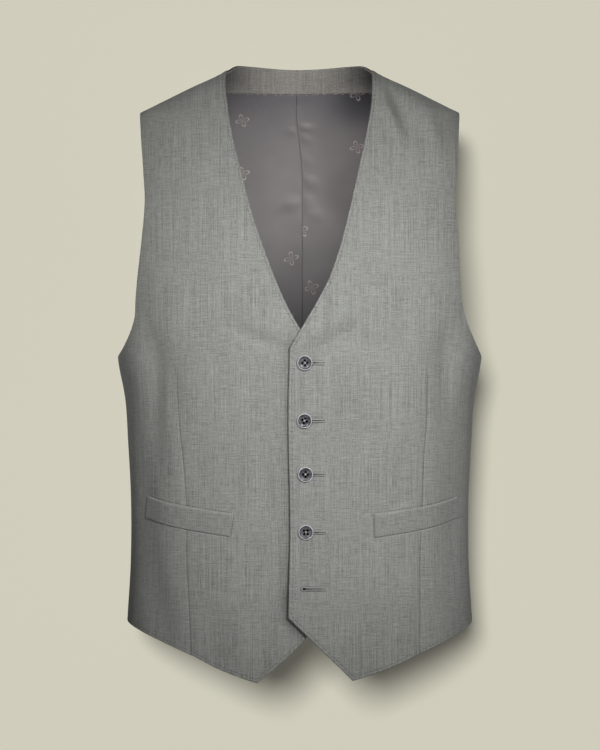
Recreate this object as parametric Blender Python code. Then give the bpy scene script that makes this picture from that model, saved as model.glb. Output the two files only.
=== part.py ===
"""A man's single-breasted suit waistcoat with five buttons, filled out as if worn.

The garment hangs round one smooth body form. A point of the form is given by an angle round the
body, 0 at the centre front and 180 degrees at the centre back, and by a height. Every cut piece is
a grid of such points, and its wall is that grid lifted along the form's normals, so pieces that
lie on one another or meet at a seam share one surface and stay a sewing gap apart.

Metres, +Z up. +X is the wearer's left, -Y is the front. The origin is level with the neck ends of
the shoulder seams, midway between the shoulders.
"""

import math
from collections import namedtuple

import bmesh
import bpy
import numpy as np
from mathutils import Matrix, Vector

# Walls and gaps
FRONT_WALL = 0.0020
BACK_WALL = 0.0012
LINING_WALL = 0.0010
NECK_FACING_WALL = 0.0013
WELT_WALL = 0.0016
GAP = 0.0003
SEAM_HALF_ANGLE = 0.0018
SEW_DISTANCE = 1e-6
SHARP_ANGLE = math.radians(40)

# The body form, a rounded oblong at each height
SQUARENESS = 0.03
NEWTON_STEPS = 8
NORMAL_STEP = 1e-4
Section = namedtuple("Section", "height half_width front_depth back_depth")
FORM = (
    Section(-0.620, 0.1775, 0.115, 0.098),
    Section(-0.560, 0.1750, 0.112, 0.094),
    Section(-0.500, 0.1715, 0.109, 0.088),
    Section(-0.436, 0.1712, 0.110, 0.085),
    Section(-0.375, 0.1742, 0.116, 0.090),
    Section(-0.335, 0.1768, 0.121, 0.097),
    Section(-0.291, 0.1845, 0.124, 0.104),
    Section(-0.255, 0.1850, 0.124, 0.108),
    Section(-0.200, 0.1840, 0.119, 0.113),
    Section(-0.140, 0.1810, 0.106, 0.113),
    Section(-0.090, 0.1760, 0.087, 0.105),
    Section(-0.060, 0.1695, 0.071, 0.097),
    Section(-0.048, 0.1655, 0.064, 0.093),
    Section(-0.044, 0.1620, 0.061, 0.091),
    Section(-0.040, 0.1540, 0.059, 0.090),
    Section(-0.021, 0.1160, 0.048, 0.083),
    Section(0.000, 0.0740, 0.036, 0.074),
    Section(0.014, 0.0640, 0.031, 0.070),
)

# The cut: how far each edge lies from the centre, on the wearer's left and right. A negative
# breadth reaches past the centre, under or over the other front.
Edge = namedtuple("Edge", "height left right")
NECK_EDGE = (
    Edge(-0.283, -0.0095, -0.0125),
    Edge(-0.256, 0.0062, 0.0046),
    Edge(-0.236, 0.0179, 0.0149),
    Edge(-0.217, 0.0277, 0.0232),
    Edge(-0.187, 0.0385, 0.0345),
    Edge(-0.147, 0.0489, 0.0479),
    Edge(-0.107, 0.0580, 0.0580),
    Edge(-0.077, 0.0648, 0.0657),
    Edge(-0.038, 0.0716, 0.0722),
    Edge(-0.007, 0.0736, 0.0748),
    Edge(0.000, 0.0740, 0.0740),
)
FRONT_EDGE = (
    Edge(-0.548, -0.0111, -0.0215),
    Edge(-0.462, -0.0095, -0.0205),
    Edge(-0.334, -0.0110, -0.0190),
    Edge(-0.283, -0.0095, -0.0125),
)
FRONT_ARMHOLE = (
    Edge(-0.2913, 0.1845, 0.1845),
    Edge(-0.2845, 0.1801, 0.1785),
    Edge(-0.2746, 0.1741, 0.1722),
    Edge(-0.2549, 0.1654, 0.1648),
    Edge(-0.2351, 0.1601, 0.1630),
    Edge(-0.2153, 0.1581, 0.1612),
    Edge(-0.1755, 0.1563, 0.1565),
    Edge(-0.1355, 0.1530, 0.1534),
    Edge(-0.1050, 0.1556, 0.1556),
    Edge(-0.0630, 0.1594, 0.1598),
    Edge(-0.0440, 0.1620, 0.1620),
)
BACK_ARMHOLE = (
    Edge(-0.2913, 0.1845, 0.1845),
    Edge(-0.2800, 0.1780, 0.1775),
    Edge(-0.2650, 0.1690, 0.1690),
    Edge(-0.2350, 0.1610, 0.1620),
    Edge(-0.2000, 0.1575, 0.1590),
    Edge(-0.1550, 0.1550, 0.1555),
    Edge(-0.1050, 0.1560, 0.1560),
    Edge(-0.0630, 0.1590, 0.1590),
    Edge(-0.0440, 0.1620, 0.1620),
)
DART = (
    Edge(-0.582, 0.1187, 0.1074),
    Edge(-0.548, 0.1194, 0.1090),
    Edge(-0.490, 0.1198, 0.1120),
    Edge(-0.438, 0.1217, 0.1120),
    Edge(-0.393, 0.1232, 0.1155),
    Edge(-0.348, 0.1262, 0.1205),
    Edge(-0.298, 0.1271, 0.1222),
    Edge(-0.022, 0.1180, 0.1180),
)
HemPoint = namedtuple("HemPoint", "tip_breadth tip_height dart_height side_height")
HEM = {
    1: HemPoint(0.0519, -0.6098, -0.5853, -0.5593),
    -1: HemPoint(0.0419, -0.6122, -0.5860, -0.5583),
}
SHOULDER_TIP_HEIGHT = -0.044
UNDERARM_HEIGHT = -0.2913
NECK_CORNER_HEIGHT = -0.283
HEM_CORNER_HEIGHT = -0.548
LAST_SIDE_ROW_HEIGHT = -0.520
HEM_CURVE = 0.7
HEM_BELLY = 0.0018
FRONT_SEAM_ANGLE = math.radians(95) - SEAM_HALF_ANGLE
SECOND_FRONT_ROW_ANGLE = math.radians(90)
BACK_SEAM_ANGLE = math.radians(95) + SEAM_HALF_ANGLE
SECOND_BACK_ROW_ANGLE = math.radians(99)
SIDE_SEAM_ANGLE = math.radians(90)
ARMHOLE_SHARE = 0.55
BACK_NECK_HEIGHT = 0.0068
BACK_NECK_ROUNDING = 0.0050
BACK_HEM_HEIGHT = -0.549
BACK_COLUMN_BREADTH = 0.098
FACING_CENTRE_HEIGHT = -0.0172
FACING_SEAM_HEIGHT = -0.0142
CENTRE_SEAM_SHIFTS = (-0.0022, 0.0014)
CENTRE_SEAM_TURN_HEIGHTS = (-0.020, -0.110)
DART_DEPTH = 0.0007
DART_HALF_WIDTH = 0.003
DART_TOP_HEIGHT = -0.298
DART_FULL_HEIGHT = -0.330

# Where the left front laps over the right one, the two part evenly from the form
LAP_PARTING = FRONT_WALL + 2 * GAP
LAP_FULL_BREADTH = 0.028
LAP_END_BREADTH = 0.072
UNDONE_PARTING = 0.0062
UNDONE_TOP_HEIGHT = -0.478
UNDONE_FULL_HEIGHT = -0.508

Welt = namedtuple("Welt", "inner_top_breadth inner_top inner_bottom_breadth inner_bottom"
                  " outer_top_breadth outer_top outer_bottom_breadth outer_bottom")
WELTS = {
    1: Welt(0.0757, -0.4464, 0.0764, -0.4702, 0.1589, -0.4317, 0.1607, -0.4531),
    -1: Welt(0.0656, -0.4463, 0.0683, -0.4687, 0.1532, -0.4306, 0.1557, -0.4521),
}

# Buttons
BUTTON_DIAMETER = 0.015
BUTTON_HEIGHT = 0.0030
BUTTON_HOLE_DIAMETER = 0.0017
BUTTON_HOLE_RING_RADIUS = 0.0020
FIRST_HOLE_TURN = 45
BUTTON_SIDES = 24
HOLE_SIDES = 8
ButtonPlace = namedtuple("ButtonPlace", "breadth height turn front")
BUTTONS = (
    ButtonPlace(0.0050, -0.2976, 48, 1),
    ButtonPlace(0.0047, -0.3538, 26, 1),
    ButtonPlace(0.0057, -0.4067, 45, 1),
    ButtonPlace(0.0060, -0.4639, 4, 1),
    ButtonPlace(0.0045, -0.5197, 30, -1),
)
ProfilePoint = namedtuple("ProfilePoint", "radius height")
BUTTON_PROFILE = (
    ProfilePoint(0.00, 0.00),
    ProfilePoint(0.70, 0.00),
    ProfilePoint(0.92, 0.16),
    ProfilePoint(1.00, 0.52),
    ProfilePoint(0.97, 0.86),
    ProfilePoint(0.91, 1.00),
    ProfilePoint(0.84, 0.93),
    ProfilePoint(0.76, 0.70),
    ProfilePoint(0.00, 0.64),
)

# Rows and columns of the grids
UPPER_ROWS = 15
LOWER_ROWS = 10
POINT_ROWS = 4
FRONT_INNER_COLUMNS = 8
FRONT_OUTER_COLUMNS = 5
BACK_ROWS = 21
BACK_INNER_COLUMNS = 7
BACK_OUTER_COLUMNS = 6
FACING_ROWS = 3
WELT_COLUMNS = 10
WELT_ROWS = 2

SUIT_CLOTH = ("suit_cloth", (0.290, 0.292, 0.275), 0.85)
SATIN = ("satin_lining", (0.215, 0.205, 0.200), 0.42)
HORN = ("button_horn", (0.085, 0.095, 0.110), 0.35)


def cubic(table, column, heights):
    """A smooth curve through one column of a table, whose first column rises."""
    rows = np.array(table)
    knots = rows[:, 0]
    values = rows[:, table[0]._fields.index(column)]
    slopes = np.gradient(values, knots)
    heights = np.clip(heights, knots[0], knots[-1])
    low = np.clip(np.searchsorted(knots, heights) - 1, 0, len(knots) - 2)
    span = knots[low + 1] - knots[low]
    part = (heights - knots[low]) / span
    start = (1 + 2 * part) * (1 - part) ** 2 * values[low]
    start_slope = part * (1 - part) ** 2 * span * slopes[low]
    end = part**2 * (3 - 2 * part) * values[low + 1]
    end_slope = part**2 * (part - 1) * span * slopes[low + 1]
    return start + start_slope + end + end_slope


def smoothstep(start, end, value):
    part = np.clip((value - start) / (end - start), 0, 1)
    return part * part * (3 - 2 * part)


def form_points(angles, heights):
    """The form's surface on the wearer's left, for angles from 0 at the front to pi at the back."""
    sideways = (np.sin(angles) + SQUARENESS * np.sin(3 * angles)) / (1 - SQUARENESS)
    forward = (np.cos(angles) - SQUARENESS * np.cos(3 * angles)) / (1 - SQUARENESS)
    front = cubic(FORM, "front_depth", heights)
    back = cubic(FORM, "back_depth", heights)
    depth = np.where(forward > 0, front, back)
    return np.stack([cubic(FORM, "half_width", heights) * sideways, -depth * forward, heights], axis=-1)


def form_normals(angles, heights):
    round_body = form_points(angles + NORMAL_STEP, heights) - form_points(angles - NORMAL_STEP, heights)
    upwards = form_points(angles, heights + NORMAL_STEP) - form_points(angles, heights - NORMAL_STEP)
    normals = np.cross(round_body, upwards)
    return normals / np.linalg.norm(normals, axis=-1, keepdims=True)


def angle_at(breadths, heights):
    """The angle on the front half of the form at a distance from the centre, by Newton's method."""
    target = breadths / cubic(FORM, "half_width", heights)
    sine = np.clip(target, -1, 1)
    for _ in range(NEWTON_STEPS):
        value = ((1 + 3 * SQUARENESS) * sine - 4 * SQUARENESS * sine**3) / (1 - SQUARENESS)
        slope = ((1 + 3 * SQUARENESS) - 12 * SQUARENESS * sine**2) / (1 - SQUARENESS)
        sine = np.clip(sine - (value - target) / slope, -1, 1)
    return np.arcsin(sine)


def side_name(side):
    return "left" if side > 0 else "right"


def edge_angles(table, side, heights):
    return angle_at(cubic(table, side_name(side), heights), heights)


def eased(count):
    """Steps from 0 to 1 that are close together at both ends, without the first."""
    return (1 - np.cos(np.pi * np.arange(1, count + 1) / count)) / 2


def mixed(start, end, parts):
    return start + (end - start) * parts


def across(guides, parts_between):
    """A grid whose rows run through guide lines, each an array of angles or heights down the rows."""
    columns = [guides[0][:, None]]
    for first, last, parts in zip(guides[:-1], guides[1:], parts_between):
        columns.append(mixed(first[:, None], last[:, None], parts[1:]))
    return np.concatenate(columns, axis=1)


def lap_parting(heights):
    return mixed(LAP_PARTING, UNDONE_PARTING, smoothstep(UNDONE_TOP_HEIGHT, UNDONE_FULL_HEIGHT, heights))


def lap_lift(side, angles, heights):
    """How far a front stands off the form: half the parting, out on the left and in on the right."""
    breadths = form_points(angles, heights)[..., 0]
    return side * 0.5 * lap_parting(heights) * smoothstep(LAP_END_BREADTH, LAP_FULL_BREADTH, breadths)


def middle_breadths(side, heights):
    return cubic(DART, side_name(side), heights)


def front_grid(side):
    """Angles, heights and dart depths of a front, from the shoulder seam down to the hem."""
    hem = HEM[side]
    upper = eased(UPPER_ROWS)
    lower = np.arange(1, LOWER_ROWS + 1) / LOWER_ROWS
    point = np.arange(1, POINT_ROWS + 1) / POINT_ROWS
    top = [0.0, 0.0]
    inner = np.concatenate([top, mixed(0.0, NECK_CORNER_HEIGHT, upper),
                            mixed(NECK_CORNER_HEIGHT, HEM_CORNER_HEIGHT, lower),
                            mixed(HEM_CORNER_HEIGHT, hem.tip_height, point)])
    outer = np.concatenate([[SHOULDER_TIP_HEIGHT] * 2, mixed(SHOULDER_TIP_HEIGHT, UNDERARM_HEIGHT, upper),
                            mixed(UNDERARM_HEIGHT, LAST_SIDE_ROW_HEIGHT, lower),
                            mixed(LAST_SIDE_ROW_HEIGHT, hem.side_height, point)])
    middle = (inner + outer) / 2
    first_point_row = len(middle) - POINT_ROWS - 1
    middle[first_point_row + 1:] = mixed(middle[first_point_row], hem.dart_height, point)

    corner_breadth = cubic(FRONT_EDGE, side_name(side), HEM_CORNER_HEIGHT)
    inner_angles = np.where(inner > NECK_CORNER_HEIGHT, edge_angles(NECK_EDGE, side, inner),
                            edge_angles(FRONT_EDGE, side, inner))
    inner_angles[-POINT_ROWS:] = angle_at(mixed(corner_breadth, hem.tip_breadth, point), inner[-POINT_ROWS:])
    outer_angles = np.where(outer > UNDERARM_HEIGHT + GAP, edge_angles(FRONT_ARMHOLE, side, outer),
                            SIDE_SEAM_ANGLE - SEAM_HALF_ANGLE)
    middle_angles = edge_angles(DART, side, middle)
    dart_half_angle = DART_HALF_WIDTH / (cubic(FORM, "half_width", middle) * np.cos(middle_angles))
    for row, angle in enumerate((FRONT_SEAM_ANGLE, SECOND_FRONT_ROW_ANGLE)):
        for guide in (inner_angles, middle_angles, outer_angles):
            guide[row] = angle
        dart_half_angle[row] = 0

    inner_parts = np.linspace(0, 1, FRONT_INNER_COLUMNS + 1)
    outer_parts = np.linspace(0, 1, FRONT_OUTER_COLUMNS + 1)
    step = np.array([0.0, 1.0])
    guides = [inner_angles, middle_angles - dart_half_angle, middle_angles,
              middle_angles + dart_half_angle, outer_angles]
    angles = across(guides, [inner_parts, step, step, outer_parts])

    # Below the last side row the hem bellies towards the tip and swings up to the side seam.
    below = np.zeros(len(middle))
    below[-POINT_ROWS:] = point
    beside = DART_HALF_WIDTH / (middle_breadths(side, middle) + DART_HALF_WIDTH)
    towards_inner = mixed(beside[:, None], 1.0, 1 - inner_parts[None, :])
    towards_outer = mixed(beside[:, None], 1.0, outer_parts[None, :])
    belly = HEM_BELLY * below[:, None] * np.sin(np.pi * towards_inner)
    inner_heights = mixed(middle[:, None], inner[:, None], towards_inner) - belly
    remaining = (1 - towards_outer) ** (1 + HEM_CURVE * below[:, None])
    outer_heights = mixed(outer[:, None], middle[:, None], remaining)
    heights = np.concatenate([inner_heights, middle[:, None], outer_heights], axis=1)

    depths = np.zeros(angles.shape)
    depths[:, FRONT_INNER_COLUMNS + 1] = DART_DEPTH * smoothstep(DART_TOP_HEIGHT, DART_FULL_HEIGHT, middle)
    return angles, heights, depths


def centre_angle(side, heights):
    """The centre back seam leans to the right at the neck and a little to the left below."""
    shift = mixed(*CENTRE_SEAM_SHIFTS, smoothstep(*CENTRE_SEAM_TURN_HEIGHTS, heights))
    return np.pi - side * shift / cubic(FORM, "back_depth", heights)


def lining_grid(side):
    """Angles and heights of a back below its neck facing, from the facing's edge down to the hem."""
    below = eased(BACK_ROWS)
    steps = np.concatenate([[0.0, below[0] / 2], below])
    armhole_rows = round(BACK_ROWS * ARMHOLE_SHARE)
    side_rows = BACK_ROWS - armhole_rows
    side_height = HEM[side].side_height
    outer = np.concatenate([[SHOULDER_TIP_HEIGHT] * 2,
                            mixed(SHOULDER_TIP_HEIGHT, UNDERARM_HEIGHT, eased(armhole_rows)),
                            mixed(UNDERARM_HEIGHT, side_height, np.arange(1, side_rows + 1) / side_rows)])
    centre = mixed(FACING_CENTRE_HEIGHT, BACK_HEM_HEIGHT, steps)
    middle = mixed(FACING_SEAM_HEIGHT, (BACK_HEM_HEIGHT + side_height) / 2, steps)
    seam_breadth = cubic(FORM, "half_width", FACING_SEAM_HEIGHT)
    middle_angles = np.pi - angle_at(mixed(seam_breadth, BACK_COLUMN_BREADTH, steps), middle)
    outer_angles = np.where(outer > UNDERARM_HEIGHT + GAP, np.pi - edge_angles(BACK_ARMHOLE, side, outer),
                            SIDE_SEAM_ANGLE + SEAM_HALF_ANGLE)
    centre_angles = centre_angle(side, centre) - SEAM_HALF_ANGLE
    for row, angle in enumerate((BACK_SEAM_ANGLE, SECOND_BACK_ROW_ANGLE)):
        middle_angles[row] = angle
        outer_angles[row] = angle
    inner_parts = np.linspace(0, 1, BACK_INNER_COLUMNS + 1)
    outer_parts = np.linspace(0, 1, BACK_OUTER_COLUMNS + 1)
    angles = across([centre_angles, middle_angles, outer_angles], [inner_parts, outer_parts])
    return angles, across([centre, middle, outer], [inner_parts, outer_parts])


def facing_grid(side, seam_half_angle):
    """Angles and heights of half the back neck facing, from the centre back to the shoulder seam."""
    parts = np.linspace(0, 1, BACK_INNER_COLUMNS + 1)
    rows = np.linspace(0, 1, FACING_ROWS + 1)[:, None]
    centre = centre_angle(side, np.array(FACING_CENTRE_HEIGHT)) - seam_half_angle
    angles = np.tile(mixed(centre, BACK_SEAM_ANGLE, parts), (len(rows), 1))
    top = mixed(BACK_NECK_HEIGHT, 0.0, parts) + BACK_NECK_ROUNDING * np.sin(np.pi * parts)
    bottom = mixed(FACING_CENTRE_HEIGHT, FACING_SEAM_HEIGHT, parts)
    return angles, mixed(top, bottom, rows)


def welt_grid(side):
    welt = WELTS[side]
    down = np.linspace(0, 1, WELT_ROWS + 1)
    inner = mixed(welt.inner_top, welt.inner_bottom, down)
    outer = mixed(welt.outer_top, welt.outer_bottom, down)
    inner_angles = angle_at(mixed(welt.inner_top_breadth, welt.inner_bottom_breadth, down), inner)
    outer_angles = angle_at(mixed(welt.outer_top_breadth, welt.outer_bottom_breadth, down), outer)
    parts = [np.linspace(0, 1, WELT_COLUMNS + 1)]
    return across([inner_angles, outer_angles], parts), across([inner, outer], parts)


def lifted(grid, lifts, side):
    """A grid's points moved out from the form along its normals, on the wearer's left or right."""
    angles, heights = grid
    lifts = np.broadcast_to(lifts, angles.shape)[..., None]
    points = form_points(angles, heights) + form_normals(angles, heights) * lifts
    return points * np.array([side, 1.0, 1.0])


def wall(name, patches, finish):
    """One closed wall. A patch is a pair of point grids, and patches that share an edge are sewn along it."""
    outer = np.concatenate([grid.reshape(-1, 3) for grid, _ in patches])
    inner = np.concatenate([grid.reshape(-1, 3) for _, grid in patches])
    _, first, sewn = np.unique(np.round(outer / SEW_DISTANCE), axis=0, return_index=True, return_inverse=True)
    quads = []
    start = 0
    for grid, _ in patches:
        rows, columns = grid.shape[:2]
        index = start + np.arange(rows * columns).reshape(rows, columns)
        corners = [index[:-1, :-1], index[1:, :-1], index[1:, 1:], index[:-1, 1:]]
        quads.append(np.stack(corners, axis=-1).reshape(-1, 4))
        start += rows * columns
    quads = sewn.reshape(-1)[np.concatenate(quads)]
    edges = np.concatenate([np.roll(quads, -turn, axis=1)[:, :2] for turn in range(4)])
    _, where, times = np.unique(np.sort(edges, axis=1), axis=0, return_index=True, return_counts=True)
    border = edges[where[times == 1]]
    count = len(first)
    rim = np.concatenate([border[:, ::-1], border + count], axis=1)
    faces = np.concatenate([quads, quads[:, ::-1] + count, rim])
    mesh = bpy.data.meshes.new(name)
    mesh.from_pydata(np.concatenate([outer[first], inner[first]]).tolist(), [], faces.tolist())
    face_outwards(mesh)
    mesh.materials.append(material(*finish))
    mesh.shade_smooth()
    mesh.set_sharp_from_angle(angle=SHARP_ANGLE)
    obj = bpy.data.objects.new(name, mesh)
    bpy.context.scene.collection.objects.link(obj)


def face_outwards(mesh):
    editor = bmesh.new()
    editor.from_mesh(mesh)
    bmesh.ops.recalc_face_normals(editor, faces=editor.faces)
    bmesh.ops.triangulate(editor, faces=editor.faces)
    editor.to_mesh(mesh)
    editor.free()


def material(name, colour, roughness):
    found = bpy.data.materials.get(name)
    if found:
        return found
    made = bpy.data.materials.new(name)
    made.use_nodes = True
    shader = made.node_tree.nodes["Principled BSDF"]
    shader.inputs["Base Color"].default_value = (*colour, 1.0)
    shader.inputs["Roughness"].default_value = roughness
    return made


def make_front(side):
    angles, heights, depths = front_grid(side)
    lifts = lap_lift(side, angles, heights) - depths
    grid = (angles, heights)
    patch = (lifted(grid, lifts, side), lifted(grid, lifts - FRONT_WALL, side))
    wall(f"front_{side_name(side)}", [patch], SUIT_CLOTH)


def make_back(side):
    grids = (facing_grid(side, SEAM_HALF_ANGLE), lining_grid(side))
    patches = [(lifted(grid, 0.0, side), lifted(grid, -BACK_WALL, side)) for grid in grids]
    wall(f"back_{side_name(side)}", patches, SATIN)


def make_lining(side):
    grid = lining_grid(side)
    grid[1][0, :BACK_INNER_COLUMNS + 1] -= GAP
    top = BACK_WALL + GAP
    patch = (lifted(grid, -top, side), lifted(grid, -top - LINING_WALL, side))
    wall(f"lining_{side_name(side)}", [patch], SATIN)


def make_neck_facing():
    top = BACK_WALL + GAP
    patches = []
    for side in (1, -1):
        grid = facing_grid(side, 0.0)
        patches.append((lifted(grid, -top, side), lifted(grid, -top - NECK_FACING_WALL, side)))
    wall("neck_facing", patches, SUIT_CLOTH)


def make_welt(side):
    grid = welt_grid(side)
    lifts = np.maximum(lap_lift(side, *grid), 0) + GAP
    patch = (lifted(grid, lifts + WELT_WALL, side), lifted(grid, lifts, side))
    wall(f"welt_{side_name(side)}", [patch], SUIT_CLOTH)


def button_mesh():
    """A turned disc with a raised rim round a dished face."""
    editor = bmesh.new()
    radius = BUTTON_DIAMETER / 2
    verts = [editor.verts.new((point.radius * radius, 0.0, point.height * BUTTON_HEIGHT))
             for point in BUTTON_PROFILE]
    edges = [editor.edges.new(pair) for pair in zip(verts[:-1], verts[1:])]
    bmesh.ops.spin(editor, geom=verts + edges, cent=(0, 0, 0), axis=(0, 0, 1), angle=2 * math.pi,
                   steps=BUTTON_SIDES, use_merge=True)
    bmesh.ops.remove_doubles(editor, verts=editor.verts, dist=SEW_DISTANCE)
    bmesh.ops.recalc_face_normals(editor, faces=editor.faces)
    mesh = bpy.data.meshes.new("button")
    editor.to_mesh(mesh)
    editor.free()
    mesh.materials.append(material(*HORN))
    mesh.shade_smooth()
    mesh.set_sharp_from_angle(angle=SHARP_ANGLE)
    return mesh


def hole_cutter_mesh():
    """Four pins that drill the sewing holes."""
    editor = bmesh.new()
    for quarter in range(4):
        turn = math.radians(FIRST_HOLE_TURN + 90 * quarter)
        place = Vector((math.cos(turn), math.sin(turn), 0)) * BUTTON_HOLE_RING_RADIUS
        place.z = BUTTON_HEIGHT / 2
        bmesh.ops.create_cone(editor, cap_ends=True, segments=HOLE_SIDES, radius1=BUTTON_HOLE_DIAMETER / 2,
                              radius2=BUTTON_HOLE_DIAMETER / 2, depth=2 * BUTTON_HEIGHT,
                              matrix=Matrix.Translation(place))
    mesh = bpy.data.meshes.new("hole_cutter")
    editor.to_mesh(mesh)
    editor.free()
    return mesh


def button_frame(place):
    """The matrix that seats a button's flat side on its front."""
    height = np.array([place.height])
    angle = angle_at(np.array([place.breadth * place.front]), height)
    lift = lap_lift(place.front, angle, height) + GAP
    seat = lifted((angle, height), lift, place.front)[0]
    normal = form_normals(angle, height)[0] * np.array([place.front, 1.0, 1.0])
    turn = Vector(normal).to_track_quat("Z", "Y").to_matrix().to_4x4()
    spin = Matrix.Rotation(math.radians(place.turn), 4, "Z")
    return Matrix.Translation(seat.tolist()) @ turn @ spin


def make_buttons():
    disc = button_mesh()
    pins = hole_cutter_mesh()
    for number, place in enumerate(BUTTONS, start=1):
        button = bpy.data.objects.new(f"button_{number}", disc)
        cutter = bpy.data.objects.new(f"hole_cutter_{number}", pins)
        for obj in (button, cutter):
            obj.matrix_world = button_frame(place)
            bpy.context.scene.collection.objects.link(obj)
        cutter.hide_render = True
        cutter.display_type = "WIRE"
        holes = button.modifiers.new("holes", "BOOLEAN")
        holes.operation = "DIFFERENCE"
        holes.solver = "EXACT"
        holes.object = cutter


def main():
    for obj in list(bpy.data.objects):
        bpy.data.objects.remove(obj, do_unlink=True)
    for side in (1, -1):
        make_front(side)
        make_back(side)
        make_lining(side)
        make_welt(side)
    make_neck_facing()
    make_buttons()


main()
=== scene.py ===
import sys
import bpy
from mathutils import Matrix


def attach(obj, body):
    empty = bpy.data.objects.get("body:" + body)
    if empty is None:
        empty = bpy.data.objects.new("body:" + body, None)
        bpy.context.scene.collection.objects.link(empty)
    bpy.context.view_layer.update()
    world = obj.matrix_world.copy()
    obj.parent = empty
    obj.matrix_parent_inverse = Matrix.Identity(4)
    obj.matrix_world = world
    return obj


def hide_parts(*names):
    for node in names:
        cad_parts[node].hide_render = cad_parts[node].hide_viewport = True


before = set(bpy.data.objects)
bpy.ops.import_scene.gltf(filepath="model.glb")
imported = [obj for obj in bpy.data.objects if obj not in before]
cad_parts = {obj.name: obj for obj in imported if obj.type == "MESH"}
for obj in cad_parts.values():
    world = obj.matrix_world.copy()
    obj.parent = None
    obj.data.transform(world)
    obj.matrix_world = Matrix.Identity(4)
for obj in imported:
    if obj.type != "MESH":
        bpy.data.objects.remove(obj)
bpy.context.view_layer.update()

# The finish of a man's suit waistcoat: wool fronts with darts, welts, hand stitching and worked
# buttonholes, satin back and lining, horn buttons, and the studio it hangs in. Every piece of cloth
# is a grid on one rounded body form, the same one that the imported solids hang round. A place on the
# form is an angle, 0 at the centre front and pi at the centre back, and a height. Metres, +Z up,
# +X the wearer's left, -Y the front.

import logging
import math
from collections.abc import Mapping, Sequence
from dataclasses import dataclass, field
from enum import Enum
from functools import cached_property
from typing import Any

import bpy
import numpy as np
from mathutils import Matrix, Vector

LOG = logging.getLogger("waistcoat")
Array = np.ndarray
Material = bpy.types.Material
Object = bpy.types.Object
Socket = bpy.types.NodeSocket
Triple = tuple[float, float, float]


class Side(Enum):
    """The wearer's left or right half; the value is the sign of X there."""

    LEFT = 1
    RIGHT = -1

    @property
    def word(self) -> str:
        """The side's name in node names."""
        return self.name.lower()

    @property
    def mirror(self) -> Array:
        """What a point on the form is multiplied by to lie on this side."""
        return np.array([self.value, 1.0, 1.0])


# ---- curves and the body form


@dataclass(frozen=True)
class Curve:
    """A smooth line through knots, flat beyond its ends."""

    knots: tuple[float, ...]
    values: tuple[float, ...]

    def __call__(self, at: Any) -> Array:
        """Cubic Hermite between the knots, with the slopes of the neighbouring chords.

        Args:
            at: Places along the knots.

        Returns:
            The line's values there.
        """
        knots, values = np.array(self.knots), np.array(self.values)
        slopes = np.gradient(values, knots)
        at = np.clip(at, knots[0], knots[-1])
        low = np.clip(np.searchsorted(knots, at) - 1, 0, len(knots) - 2)
        span = knots[low + 1] - knots[low]
        part = (at - knots[low]) / span
        start = (1 + 2 * part) * (1 - part) ** 2 * values[low] + part * (1 - part) ** 2 * span * slopes[low]
        end = part**2 * (3 - 2 * part) * values[low + 1] + part**2 * (part - 1) * span * slopes[low + 1]
        return start + end


def curves(rows: Sequence[tuple[float, ...]]) -> tuple[Curve, ...]:
    """One curve for each column of a table after its first, which holds the knots."""
    knots, *columns = zip(*rows)
    return tuple(Curve(tuple(knots), tuple(column)) for column in columns)


def smoothstep(start: float, end: float, value: Any) -> Array:
    """0 before start, 1 past end, and 3p^2 - 2p^3 of the part p between them."""
    part = np.clip((value - start) / (end - start), 0, 1)
    return part * part * (3 - 2 * part)


def mixed(start: Any, end: Any, part: Any) -> Array:
    """The value a part of the way from start to end."""
    return start + (end - start) * part


def bell(value: Any, width: float) -> Array:
    """exp(-(value / width)^2)."""
    return np.exp(-((value / width) ** 2))


def eased(count: int) -> Array:
    """Parts up to 1 that lie closer at both ends: (1 - cos(pi k / n)) / 2 for k from 1 to n."""
    return (1 - np.cos(np.pi * np.arange(1, count + 1) / count)) / 2


def turns(count: int) -> Array:
    """Equal steps round a circle, in radians."""
    return 2 * np.pi * np.arange(count) / count


def unit(vectors: Array) -> Array:
    """Vectors divided by their lengths."""
    return vectors / np.maximum(np.linalg.norm(vectors, axis=-1, keepdims=True), 1e-12)


HALF_WIDTH, FRONT_DEPTH, BACK_DEPTH = curves((
    (-0.620, 0.1775, 0.115, 0.098), (-0.560, 0.1750, 0.112, 0.094), (-0.500, 0.1715, 0.109, 0.088),
    (-0.436, 0.1712, 0.110, 0.085), (-0.375, 0.1742, 0.116, 0.090), (-0.335, 0.1768, 0.121, 0.097),
    (-0.291, 0.1845, 0.124, 0.104), (-0.255, 0.1850, 0.124, 0.108), (-0.200, 0.1840, 0.119, 0.113),
    (-0.140, 0.1810, 0.106, 0.1120), (-0.090, 0.1760, 0.0868, 0.1035), (-0.060, 0.1695, 0.0704, 0.0958),
    (-0.048, 0.1655, 0.0637, 0.0922), (-0.044, 0.1620, 0.0614, 0.0909), (-0.040, 0.1540, 0.0591, 0.0896),
    (-0.021, 0.1160, 0.0482, 0.0828), (0.000, 0.0740, 0.036, 0.074), (0.014, 0.0640, 0.031, 0.070)))
NECK_EDGE = curves((
    (-0.283, -0.0095, -0.0125), (-0.256, 0.0062, 0.0046), (-0.236, 0.0179, 0.0149), (-0.217, 0.0277, 0.0232),
    (-0.187, 0.0385, 0.0345), (-0.147, 0.0489, 0.0479), (-0.107, 0.0580, 0.0580), (-0.077, 0.0648, 0.0657),
    (-0.038, 0.0716, 0.0722), (-0.007, 0.0736, 0.0748), (0.000, 0.0740, 0.0740)))
FRONT_EDGE = curves((
    (-0.548, -0.0111, -0.0215), (-0.462, -0.0095, -0.0205), (-0.334, -0.0110, -0.0190),
    (-0.283, -0.0095, -0.0125)))
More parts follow.
